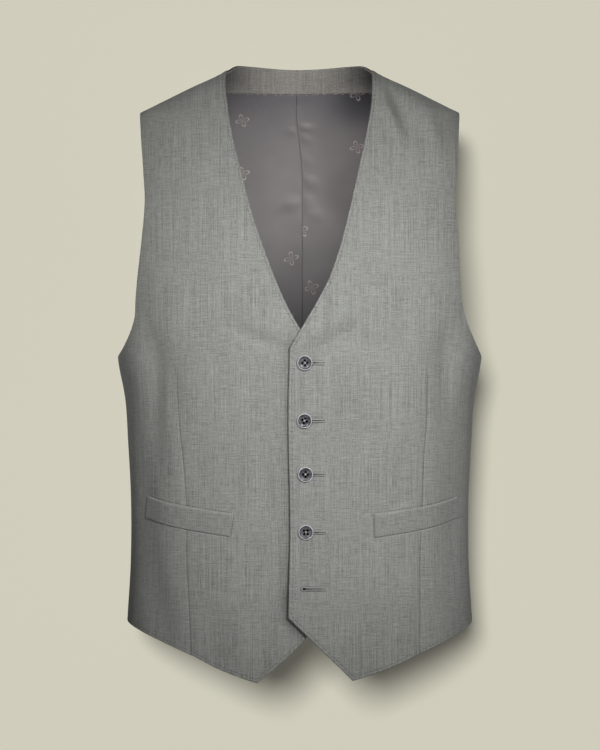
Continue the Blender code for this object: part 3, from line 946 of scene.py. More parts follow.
        if edge is not None:
            line = self.surface(edge.angles, edge.heights)
            off, part = nearest(outer, line[:-1], line[1:], reach=0.05)
            index = np.floor(part).astype(int)
            marks["edge_run"] = mixed(edge.run[index], edge.run[index + 1], part - index)
            marks["edge_off"] = off
        count = len(outer)
        keep = ~on_border
        second = np.arange(count)
        second[keep] = count + np.arange(keep.sum())
        corner, second_corner, third_corner = (outer[quads[:, number]] for number in range(3))
        facing_out = np.cross(second_corner - corner, third_corner - corner)
        if (facing_out * normals[quads[:, 0]]).sum() < 0:
            quads = quads[:, ::-1]
        if (quads[:, 2] == quads[:, 3]).any():
            raise ValueError(f"{self.name}: a face has lost a corner")
        inside = np.full(len(quads), inner_finish)
        if edge is not None:
            inside[marks["edge_off"][quads].mean(axis=1) < facing] = 0
        finish = np.concatenate([np.zeros(len(quads)), inside])
        faces = np.concatenate([quads, second[quads][:, ::-1]])
        marks = {name: np.concatenate([values, values[keep]]) for name, values in marks.items()}
        points, uv = np.concatenate([outer, inner[keep]]), np.concatenate([uv, uv[keep]])
        return MeshData(points, faces, uv, finish, marks)


def nearest(points: Array, starts: Array, ends: Array, reach: float = 0.006) -> tuple[Array, Array]:
    """How far points lie from the nearest of many short segments.

    Args:
        points: The points.
        starts: Each segment's start.
        ends: Each segment's end.
        reach: Distances are cut off here.

    Returns:
        The distance, and the segment's number plus the part of the way along it.
    """
    middles = (starts + ends) / 2
    spans = ends - starts
    away, places = np.empty(len(points)), np.empty(len(points))
    at_once = 3000
    for low in range(0, len(points), at_once):
        some = points[low:low + at_once]
        square = (some**2).sum(1)[:, None] + (middles**2).sum(1)[None, :] - 2 * some @ middles.T
        best = square.argmin(axis=1)
        span = spans[best]
        part = np.clip(((some - starts[best]) * span).sum(1) / np.maximum((span**2).sum(1), 1e-18), 0, 0.9999)
        gap = np.linalg.norm(some - starts[best] - part[:, None] * span, axis=1)
        away[low:low + at_once] = np.minimum(gap, reach)
        places[low:low + at_once] = best + part
    return away, places


def spread(count: int, fine_first: bool = True, fine_last: bool = True) -> Array:
    """Parts from 0 to 1, even but for a few close steps at the chosen ends."""
    close = np.array(CLOSE_STEPS)
    middle = np.linspace(close[-1] if fine_first else 0.0, 1 - close[-1] if fine_last else 1.0, count)
    low = close[:-1] if fine_first else np.array([])
    high = 1 - close[:-1][::-1] if fine_last else np.array([])
    return np.concatenate([low, middle, high])


def lap_parting(heights: Array) -> Array:
    """The distance between the two fronts' surfaces, wider below the last fastened button."""
    return mixed(0.0042, 0.0064, smoothstep(-0.478, -0.508, heights))


class Front(Cloth):
    """One front of suiting, with its dart, facing and lining in one wall.

    Its tip gives the point's breadth, and the heights of the point and of the dart's and side seam's feet.
    """

    name = "front_{}_cloth"
    round_off = 0.0011
    facing_breadth = 0.048
    groove_breadth = 0.003
    tip = {Side.LEFT: (0.0519, -0.6098, -0.5853, -0.5593), Side.RIGHT: (0.0419, -0.6122, -0.5860, -0.5583)}
    slant_bow = {Side.LEFT: 0.0, Side.RIGHT: 0.0052}
    hand = {
        Side.LEFT: creases(
            (0.163, -0.255, 0.146, -0.320, 0.021, -0.0042), (0.170, -0.330, 0.166, -0.555, 0.024, -0.0036),
            (0.158, -0.268, 0.150, -0.365, 0.013, -0.0026), (0.122, -0.024, 0.142, -0.086, 0.010, 0.0034),
            (0.094, -0.016, 0.113, -0.068, 0.0092, -0.0064), (0.084, -0.030, 0.102, -0.082, 0.0075, 0.0028),
            (0.004, -0.294, 0.056, -0.262, 0.010, -0.0046), (0.046, -0.272, 0.088, -0.286, 0.011, -0.0034),
            (0.012, -0.280, 0.055, -0.245, 0.011, 0.0012), (0.150, -0.480, 0.085, -0.520, 0.020, -0.0013),
            (0.030, -0.475, 0.070, -0.492, 0.013, -0.0011), (0.060, -0.545, 0.048, -0.600, 0.020, 0.0016),
            (0.130, -0.530, 0.128, -0.575, 0.014, -0.0012), (0.045, -0.150, 0.120, -0.190, 0.030, 0.0014)),
        Side.RIGHT: creases(
            (0.163, -0.255, 0.140, -0.325, 0.022, -0.0046), (0.168, -0.340, 0.166, -0.550, 0.024, -0.0036),
            (0.156, -0.280, 0.150, -0.400, 0.014, -0.0032), (0.155, -0.505, 0.140, -0.580, 0.017, -0.0032),
            (0.014, -0.286, 0.066, -0.266, 0.009, -0.0040), (0.098, -0.030, 0.150, -0.052, 0.013, -0.0018),
            (0.095, -0.425, 0.112, -0.452, 0.009, -0.0010), (0.080, -0.395, 0.040, -0.430, 0.016, -0.0008),
            (0.120, -0.318, 0.108, -0.372, 0.014, -0.0012), (0.060, -0.540, 0.046, -0.602, 0.018, 0.0016),
            (0.100, -0.515, 0.085, -0.560, 0.015, -0.0010)),
    }

    def dart_groove(self, angles: Array, heights: Array) -> tuple[Array, Array]:
        """The dart's lift and its dark line: a bell of 0.6 mm on a soft one of 4.5 mm, pinched at its top."""
        line = FORM.angle_at(on(DART, self.side)(heights), heights)
        away = (angles - line) * HALF_WIDTH(heights) * np.cos(np.minimum(line, 1.2))
        full = smoothstep(-0.298, -0.318, heights)
        pinch = bell(heights + 0.300, 0.010)
        wave = np.sin(heights * 520 + 2 * np.sin(heights * 140))
        groove = -0.0005 * bell(away, 0.00060) * full
        soft = -(0.0005 + 0.00014 * wave) * bell(away, 0.0045) * full
        soft = soft - 0.0005 * pinch * bell(away, 0.006)
        return groove + soft, bell(away, 0.00055) * full

    def soft_lift(self, angles: Array, heights: Array) -> Array:
        """Creases and half the lap's parting beside the centre."""
        breadth = FORM.breadth(angles, heights)
        lap = self.side.value * 0.5 * lap_parting(heights) * smoothstep(0.072, 0.028, breadth)
        return super().lift(angles, heights) + lap

    def lift(self, angles: Array, heights: Array) -> Array:
        """The soft lift and the dart."""
        return self.soft_lift(angles, heights) + self.dart_groove(angles, heights)[0]

    def grid(self) -> Patch:
        """Rows from the shoulder seam to the hem, each from the inner edge by the dart to the outer edge."""
        side = self.side
        tip_breadth, tip_height, dart_height, side_height = self.tip[side]
        seam_angle = math.radians(95) - SEAM_GAP
        first = np.array([0, 0.06, 0.22, 1.0])
        upper = eased(100)
        lower = np.arange(1, 93) / 92
        point = np.concatenate([np.linspace(0, 1, 25)[1:-1], [0.972, 0.984, 0.991, 0.996, 1.0]])
        inner = np.concatenate([0 * first, mixed(0.0, V_POINT, upper), mixed(V_POINT, EDGE_CORNER, lower),
                                mixed(EDGE_CORNER, tip_height, point)])
        outer = np.concatenate([SHOULDER_TIP + 0 * first, mixed(SHOULDER_TIP, UNDERARM, upper),
                                mixed(UNDERARM, SIDE_BREAK, lower), mixed(SIDE_BREAK, side_height, point)])
        middle = (inner + outer) / 2
        last = len(middle) - len(point)
        middle[last:] = mixed(middle[last - 1], dart_height, point)

        corner = on(FRONT_EDGE, side)(EDGE_CORNER)
        edge = np.where(inner > V_POINT, on(NECK_EDGE, side)(inner), on(FRONT_EDGE, side)(inner))
        inner_angles = FORM.angle_at(edge, inner)
        bowed = self.slant_bow[side] * np.sin(np.pi * point)
        inner_angles[last:] = FORM.angle_at(mixed(corner, tip_breadth, point) - bowed, inner[last:])
        outer_angles = np.where(outer > UNDERARM + GAP, FORM.angle_at(on(FRONT_ARMHOLE, side)(outer), outer),
                                math.radians(90) - SEAM_GAP)
        middle_angles = FORM.angle_at(on(DART, side)(middle), middle)
        scale = HALF_WIDTH(middle) * np.cos(np.minimum(middle_angles, 1.3))
        half_groove = np.minimum(self.groove_breadth / scale, 0.5 * (math.radians(90) - middle_angles))
        for guide in (inner_angles, middle_angles, outer_angles):
            guide[:len(first)] = mixed(seam_angle, math.radians(90), first)
        half_groove[:len(first)] = 0

        groove = np.array([-1, -0.62, -0.36, -0.22, -0.12, 0, 0.12, 0.22, 0.36, 0.62, 1.0])
        inner_parts = spread(52, fine_last=False)
        outer_parts = spread(24, fine_first=False)
        beside = self.groove_breadth / (on(DART, side)(middle) + self.groove_breadth)
        angles = np.concatenate([
            mixed(inner_angles[:, None], (middle_angles - half_groove)[:, None], inner_parts[:-1]),
            middle_angles[:, None] + half_groove[:, None] * groove,
            mixed((middle_angles + half_groove)[:, None], outer_angles[:, None], outer_parts[1:])], axis=1)

        below = np.zeros(len(middle))
        below[last:] = point
        towards_inner = np.concatenate([mixed(beside[:, None], 1.0, 1 - inner_parts[:-1]),
                                        -beside[:, None] * groove[:5]], axis=1)
        towards_outer = np.concatenate([beside[:, None] * groove[6:],
                                        mixed(beside[:, None], 1.0, outer_parts[1:])], axis=1)
        belly = 0.0012 * below[:, None] * np.sin(np.pi * towards_inner)
        hanging = (1 - towards_outer) ** (1 + 0.95 * below[:, None])
        heights = np.concatenate([mixed(middle[:, None], inner[:, None], towards_inner) - belly,
                                  middle[:, None], mixed(outer[:, None], middle[:, None], hanging)], axis=1)
        _, dark = self.dart_groove(angles, heights)
        return Patch(angles, heights, {"seam": dark, "shade": self.lap_shade(angles, heights)})

    def lap_shade(self, angles: Array, heights: Array) -> Array:
        """On the right front, the soft shadow of the left front's edge over it.

        exp(-(d / reach) ** power) for the distance d from that edge, with 4.6 mm and 1 above and 6.2 mm
        and 1.6 where the fronts part below. There it is deeper too, and leaves out the last 2 mm, which
        the edge itself shades.
        """
        if self.side is Side.LEFT:
            return np.zeros(angles.shape)
        tip_breadth, tip_height = self.tip[Side.LEFT][:2]
        upper = np.where(heights > V_POINT, on(NECK_EDGE, Side.LEFT)(heights),
                         on(FRONT_EDGE, Side.LEFT)(heights))
        slant = np.clip((EDGE_CORNER - heights) / (EDGE_CORNER - tip_height), 0, 1)
        over = -mixed(upper, tip_breadth, slant)
        away = np.maximum(FORM.breadth(angles, heights) - over, 0) * mixed(1.0, 0.72, slant > 0)
        parted = smoothstep(-0.505, -0.530, heights)
        soft = np.exp(-((away / mixed(0.0046, 0.0062, parted)) ** mixed(1.0, 1.6, parted)))
        deep = mixed(1.0, 1.6 * smoothstep(-0.0010, 0.0026, away), parted)
        return soft * deep * smoothstep(-0.262, -0.278, heights)

    def edge(self, grid: Patch) -> Edge:
        """The neck edge, the front edge, the slant to the tip and the hem, in one line."""
        angles = np.concatenate([grid.angles[:, 0], grid.angles[-1, 1:]])
        heights = np.concatenate([grid.heights[:, 0], grid.heights[-1, 1:]])
        points = self.surface(angles, heights)
        keep = np.concatenate([[True], np.linalg.norm(np.diff(points, axis=0), axis=1) > 1e-6])
        steps = np.linalg.norm(np.diff(points[keep], axis=0), axis=1)
        return Edge(angles[keep], heights[keep], np.concatenate([[0.0], np.cumsum(steps)]))

    def build(self, cloth: Material, satin: Material) -> Object:
        """Makes the front's wall: suiting outside and on its facing, satin further in."""
        grid = self.grid()
        self.finished_edge = self.edge(grid)
        mesh = self.shell([grid], self.finished_edge, inner_finish=1, facing=self.facing_breadth)
        made = mesh.build(self.name, cloth, satin)
        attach(made, "root")
        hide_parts(f"front_{self.side.word}")
        return made

    def pick_stitches(self, thread: Material, step: float = 0.0056, inset: float = 0.003) -> Object:
        """One small stitch every step along the finished edge, set in from it across the cloth."""
        edge = self.finished_edge
        runs = np.arange(0.5 * step + step * 2, edge.run[-1] - step, step)
        places = [(np.interp(run, edge.run, edge.angles), np.interp(run, edge.run, edge.heights))
                  for run in (runs, runs + 0.002, runs - 0.002)]
        (angles, heights), ahead, behind = places
        along = unit(self.surface(*ahead) - self.surface(*behind))
        up = self.outward(angles, heights)
        across = unit(np.cross(up, along)) * self.side.value
        around, upward = self.slopes(angles, heights)
        for _ in range(2):
            shift = across * inset
            new_angles = angles + (shift * around).sum(1) / (around**2).sum(1)
            new_heights = heights + (shift * upward).sum(1) / (upward**2).sum(1)
            around, upward = self.slopes(new_angles, new_heights)
        centres = self.surface(new_angles, new_heights, 0.00006)
        up = self.outward(new_angles, new_heights)
        data = stitches(centres, along, up, length=0.0018, radius=0.00026)
        made = data.build(f"pick_stitches_{self.side.word}", thread)
        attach(made, "root")
        return made


@dataclass
class BackCut:
    """Heights and breadths of the back's seams."""

    facing_centre: float = -0.0172
    facing_seam: float = -0.0142
    neck_height: float = 0.0068
    neck_rounding: float = 0.0018
    hem_centre: float = -0.549
    column_breadth: float = 0.098
    seam_angle: float = math.radians(95) + SEAM_GAP
    seam_half_angle: float = SEAM_GAP
    inner_columns: int = 40
    outer_columns: int = 24

    def centre_angle(self, side: Side, heights: Any) -> Array:
        """Pi less the centre seam's lean over the back's depth."""
        shift = mixed(-0.0022, 0.0014, smoothstep(-0.020, -0.110, heights))
        return np.pi - side.value * shift / BACK_DEPTH(heights)

    def facing_grid(self, side: Side, half_angle: float, rows: int = 14) -> Patch:
        """From the neck edge down to the facing's seam, centre back to shoulder."""
        parts = self._inner_parts(half_angle > 0)
        down = spread(rows)[:, None]
        centre = self.centre_angle(side, np.array(self.facing_centre)) - half_angle
        angles = np.tile(mixed(centre, self.seam_angle, parts), (len(down), 1))
        top = (self.neck_height + self.neck_rounding * smoothstep(0.0, 0.5, parts)) * (1 - parts**8)
        bottom = mixed(self.facing_centre, self.facing_seam, parts)
        return Patch(angles, mixed(top, bottom, down))

    def _inner_parts(self, seamed: bool) -> Array:
        """Columns from the centre back to the neck end of the shoulder."""
        return spread(self.inner_columns, fine_first=seamed)

    def body_grid(self, side: Side, rows: int = 130) -> Patch:
        """From the facing's seam down to the hem, centre back to armhole and side seam."""
        below = eased(rows)
        steps = np.concatenate([[0.0, below[0] / 4, below[0] / 2], below])
        armhole_rows = round(rows * 0.55)
        side_rows = rows - armhole_rows
        side_height = Front.tip[side][3]
        lower = np.arange(1, side_rows + 1) / side_rows
        outer = np.concatenate([[SHOULDER_TIP] * 3, mixed(SHOULDER_TIP, UNDERARM, eased(armhole_rows)),
                                mixed(UNDERARM, side_height, np.sin(lower * np.pi / 2) ** 0.98)])
        centre = mixed(self.facing_centre, self.hem_centre, steps)
        middle = mixed(self.facing_seam, (self.hem_centre + side_height) / 2, steps)
        seam_breadth = HALF_WIDTH(self.facing_seam)
        middle_angles = np.pi - FORM.angle_at(mixed(seam_breadth, self.column_breadth, steps), middle)
        above = outer > UNDERARM + GAP
        outer_angles = np.where(above, np.pi - FORM.angle_at(on(BACK_ARMHOLE, side)(outer), outer),
                                math.radians(90) + self.seam_half_angle)
        centre_angles = self.centre_angle(side, centre) - self.seam_half_angle
        least = self.seam_angle + math.radians(0.25) * np.minimum(np.arange(len(steps)), 6) ** 1.6
        middle_angles = np.maximum(middle_angles, least)
        outer_angles[above] = np.maximum(outer_angles, least)[above]
        inner_parts = self._inner_parts(True)
        outer_parts = spread(self.outer_columns, fine_first=False)[1:]
        angles = np.concatenate([mixed(centre_angles[:, None], middle_angles[:, None], inner_parts),
                                 mixed(middle_angles[:, None], outer_angles[:, None], outer_parts)], axis=1)
        heights = np.concatenate([mixed(centre[:, None], middle[:, None], inner_parts),
                                  mixed(middle[:, None], outer[:, None], outer_parts)], axis=1)
        return Patch(angles, heights)


BACK_CUT = BackCut()


class Back(Cloth):
    """One half of the satin back."""

    name = "back_{}_satin"
    wall = 0.0012
    round_off = 0.0007
    hand = {
        Side.LEFT: creases(
            (0.060, -0.060, 0.100, -0.170, 0.016, -0.0020), (0.118, -0.235, 0.052, -0.318, 0.012, -0.0036),
            (0.150, -0.292, 0.074, -0.398, 0.014, -0.0040), (0.162, -0.352, 0.098, -0.436, 0.011, -0.0028),
            (0.040, -0.395, 0.068, -0.505, 0.014, -0.0030), (0.020, -0.110, 0.034, -0.200, 0.013, 0.0010)),
        Side.RIGHT: creases(
            (0.055, -0.080, 0.090, -0.160, 0.014, -0.0018), (0.104, -0.250, 0.046, -0.352, 0.013, -0.0034),
            (0.152, -0.306, 0.092, -0.392, 0.012, -0.0032), (0.140, -0.400, 0.084, -0.462, 0.010, -0.0024),
            (0.046, -0.420, 0.084, -0.520, 0.015, -0.0030), (0.028, -0.060, 0.022, -0.180, 0.014, -0.0009)),
    }

    def seam_pucker(self, angles: Array, heights: Array) -> Array:
        """Troughs beside the centre seam, uneven down it and gone 14 mm away."""
        away = self.from_seam(angles, heights)
        wave = np.sin(heights * 410 + 3.1 * np.sin(heights * 63)) * (0.5 + 0.5 * np.sin(heights * 37 + 1))
        return -0.00035 * bell(away, 0.0085) * (1 + wave)

    def distance(self, angles: Array, heights: Array) -> Array:
        """Cloth from the centre front, measured at a height no higher than the shoulder blades."""
        low = np.minimum(heights, CHEST)
        breadth = FORM.breadth(angles, heights)
        flat = FORM.around(np.pi - FORM.angle_at(breadth, low), low)
        return np.where(heights > CHEST, flat, FORM.around(angles, heights))

    def from_seam(self, angles: Array, heights: Array) -> Array:
        """Cloth from the centre back seam."""
        return np.abs(BACK_CUT.centre_angle(self.side, heights) - angles) * BACK_DEPTH(heights)

    def crease_place(self, angles: Array, heights: Array) -> Array:
        """The back's creases are placed from its centre seam."""
        return self.from_seam(angles, heights)

    def lift(self, angles: Array, heights: Array) -> Array:
        """Creases and the pucker of the centre seam."""
        middle = smoothstep(0.0, 0.0025, self.from_seam(angles, heights))
        return super().lift(angles, heights) * middle + self.seam_pucker(angles, heights)

    def build(self, satin: Material) -> Object:
        """Makes the back's wall."""
        patches = [BACK_CUT.facing_grid(self.side, BACK_CUT.seam_half_angle), BACK_CUT.body_grid(self.side)]
        made = self.shell(patches).build(self.name, satin)
        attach(made, "root")
        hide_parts(f"back_{self.side.word}")
        return made


class BackLining(Back):
    """One half of the lining, inside the back and below the neck facing."""

    name = "lining_{}_satin"
    wall = 0.0010
    round_off = 0.0003
    border_depth = 0.0005
    tucks = {
        Side.LEFT: creases(
            (0.001, -0.0495, 0.0075, -0.052, 0.0026, -0.0022),
            (0.001, -0.060, 0.006, -0.064, 0.0024, -0.0019),
            (0.0015, -0.084, 0.0045, -0.086, 0.0022, -0.0014),
            (0.001, -0.105, 0.0085, -0.109, 0.003, -0.0024),
            (0.001, -0.127, 0.007, -0.129, 0.0028, -0.0018), (0.001, -0.136, 0.012, -0.144, 0.0045, -0.002),
            (0.010, -0.030, 0.016, -0.160, 0.009, 0.0012), (0.042, -0.026, 0.030, -0.120, 0.010, -0.0015)),
        Side.RIGHT: creases(
            (0.001, -0.053, 0.005, -0.055, 0.0024, -0.0014), (0.0015, -0.128, 0.011, -0.132, 0.004, -0.0026),
            (0.010, -0.040, 0.024, -0.150, 0.010, -0.0012), (0.045, -0.030, 0.033, -0.110, 0.012, 0.0012)),
    }

    def __init__(self, side: Side) -> None:
        """Adds its own tucks to the back's creases."""
        super().__init__(side)
        self.creases = self.hand[side] + self.tucks[side]

    def lift(self, angles: Array, heights: Array) -> Array:
        """The back's own form, its wall and gap further in, with small gathers under the facing."""
        gathers = bell(heights + 0.020, 0.014) * np.sin(FORM.around(angles, heights) * 640)
        inward = -0.00025 * (1 + gathers) * smoothstep(-0.017, -0.024, heights)
        return super().lift(angles, heights) - LINING_DEPTH + inward

    def build(self, satin: Material) -> Object:
        """Makes the lining's wall."""
        patch = BACK_CUT.body_grid(self.side)
        inner = BACK_CUT.inner_columns + 2 * (len(CLOSE_STEPS) - 1)
        patch.heights[0, :inner] -= GAP
        away = self.from_seam(patch.angles, patch.heights)
        patch.marks["seam"] = bell(away, 0.0004)
        sideways = FORM.breadth(patch.angles, patch.heights) * self.side.value
        below = BACK_CUT.facing_seam - patch.heights
        # Painted shade: strong in the top outer corner, light all along under the facing.
        corner = smoothstep(0.016, 0.060, sideways) * (1 - smoothstep(0.004, 0.056, below))
        patch.marks["shade"] = 0.95 * corner + 0.24 * (1 - corner) * (1 - smoothstep(0.0, 0.034, below))
        made = self.shell([patch]).build(self.name, satin)
        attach(made, "root")
        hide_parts(f"lining_{self.side.word}")
        return made


class NeckFacing(Cloth):
    """The band of suiting inside the back neck."""

    name = "neck_facing_cloth"
    wall = 0.0013
    round_off = 0.0008
    border_depth = 0.0006
    bend = 0.13

    def lift(self, angles: Array, heights: Array) -> Array:
        """The back's wall and gap further in than the form."""
        return np.full(np.broadcast(angles, heights).shape, -LINING_DEPTH)

    def distance(self, angles: Array, heights: Array) -> Array:
        """Cloth round the neck from the centre back, its threads upright there: b asin(-x / b)."""
        return self.bend * np.arcsin(np.clip(-FORM.breadth(angles, heights) / self.bend, -1, 1))

    def build(self, cloth: Material) -> Object:
        """Makes the band as one grid from the left shoulder to the right, the centre column once."""
        left, right = (BACK_CUT.facing_grid(side, 0.0) for side in Side)
        angles = np.concatenate([left.angles[:, ::-1], 2 * np.pi - right.angles[:, 1:]], axis=1)
        heights = np.concatenate([left.heights[:, ::-1], right.heights[:, 1:]], axis=1)
        made = self.shell([Patch(angles, heights)]).build(self.name, cloth)
        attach(made, "root")
        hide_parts("neck_facing")
        return made

    def fell_stitches(self, thread: Material, half_count: int = 26) -> Object:
        """Short uneven stitches on each side that hold the lining's top under the band."""
        chance = np.random.default_rng(11)
        rows = []
        for side in Side:
            band = NeckFacing(side)
            part = (np.arange(half_count) + chance.uniform(0.1, 0.9, half_count)) / half_count
            height = mixed(BACK_CUT.facing_centre, BACK_CUT.facing_seam, part)
            height = height - chance.uniform(0.0, 0.0006, half_count)
            angle = mixed(BACK_CUT.centre_angle(side, height), BACK_CUT.seam_angle, part)
            around, upward = band.slopes(angle, height)
            lean = chance.uniform(-0.5, 0.6, half_count)[:, None]
            rows.append((band.surface(angle, height, -LINING_DEPTH), unit(unit(around) + lean * unit(upward)),
                         -band.outward(angle, height), chance.uniform(0.0010, 0.0030, half_count)))
        centres, along, up, length = (np.concatenate(column) for column in zip(*rows))
        made = stitches(centres, along, up, length, radius=0.00030).build("fell_stitches", thread)
        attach(made, "root")
        return made


class Welt(Cloth):
    """A pocket welt, laid on its front.

    Its corners are a breadth and a height each: inner top, inner low, outer top and outer low.
    """

    name = "welt_{}_cloth"
    depth = 0.0235
    breadth = 0.085
    wall = 0.0012
    round_off = 0.0008
    border_depth = 0.0010
    corners = {
        Side.LEFT: (0.0730, -0.4466, 0.0737, -0.4696, 0.1589, -0.4317, 0.1607, -0.4522),
        Side.RIGHT: (0.0656, -0.4463, 0.0683, -0.4687, 0.1532, -0.4306, 0.1557, -0.4521),
    }

    def __init__(self, front: Front) -> None:
        """Keeps the front that it is sewn on."""
        super().__init__(front.side)
        self.front = front

    def lift(self, angles: Array, heights: Array) -> Array:
        """The front's soft lift, a gap and the welt's wall."""
        return self.front.soft_lift(angles, heights) + GAP + self.wall

    def place(self, across: Array, down: Array) -> tuple[Array, Array]:
        """Angle and height between the welt's four corners, straight from corner to corner."""
        inner_top, inner_top_z, inner_low, inner_low_z, outer_top, outer_top_z, outer_low, outer_low_z = (
            self.corners[self.side])
        inner_z, outer_z = mixed(inner_top_z, inner_low_z, down), mixed(outer_top_z, outer_low_z, down)
        inner = FORM.angle_at(mixed(inner_top, inner_low, down), inner_z)
        outer = FORM.angle_at(mixed(outer_top, outer_low, down), outer_z)
        return mixed(inner, outer, across), mixed(inner_z, outer_z, across)

    def uv(self, angles: Array, heights: Array) -> Array:
        """The front's cloth place, moved so that its threads don't run on."""
        return super().uv(angles, heights) + np.array([0.013, 0.007])

    def build(self, cloth: Material) -> Object:
        """Makes the welt's wall."""
        across, down = np.meshgrid(spread(60), spread(14))
        # A painted highlight along the welt's folded top edge, where it catches the light.
        patch = Patch(*self.place(across, down), {"fold": bell(down * self.depth, 0.0011)})
        made = self.shell([patch]).build(self.name, cloth)
        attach(made, "root")
        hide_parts(f"welt_{self.side.word}")
        return made

    def outline(self, shadow: Material, lit: Material, count: int = 70) -> Object:
        """Half-sunk lines on the front: painted shadow over the mouth and down the inner end, painted light
        under the welt.
        """
        part = np.linspace(0.01, 0.99, count)
        over, under = np.full(count, -0.0013 / self.depth), np.full(count, 1 + 0.0013 / self.depth)
        inner = np.full(count, -0.0006 / self.breadth)
        lines = []
        for across, down in ((part, over), (inner, part), (part, under)):
            angles, heights = self.place(across, down)
            lift = self.front.lift(angles, heights) - self.lift(angles, heights)
            lines.append((self.surface(angles, heights, lift), self.outward(angles, heights)[:1]))
        fade = np.sin(np.pi * np.linspace(0.02, 0.98, count)) ** 0.4
        fade = fade * (1 + 0.3 * np.sin(np.arange(count) * 0.9))
        dark = tubes(np.stack([line for line, _ in lines[:2]]), np.concatenate([up for _, up in lines[:2]]),
                     np.stack([0.00017 * fade, 0.00019 * fade]))
        pale = tubes(lines[2][0][None], lines[2][1], 0.00036 * fade[None])
        data = dark + pale
        data.finish = np.concatenate([np.zeros(len(dark.faces)), np.ones(len(pale.faces))])
        made = data.build(f"welt_outline_{self.side.word}", shadow, lit)
        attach(made, "root")
        return made

    def end_stitches(self, thread: Material, count: int = 9) -> Object:
        """A row of small stitches down each end, 1.5 mm in."""
        down = np.linspace(0.05, 0.95, count)
        places = [self.place(np.full(count, end), down) for end in (0.018, 0.982)]
        angles = np.concatenate([angle for angle, _ in places])
        heights = np.concatenate([height for _, height in places])
        centres = self.surface(angles, heights, 0.00005)
        up = self.outward(angles, heights)
        along = unit(self.slopes(angles, heights)[1])
        data = stitches(centres, along, up, length=0.0015, radius=0.0002)
        made = data.build(f"welt_stitches_{self.side.word}", thread)
        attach(made, "root")
        return made


# ---- buttons and buttonholes


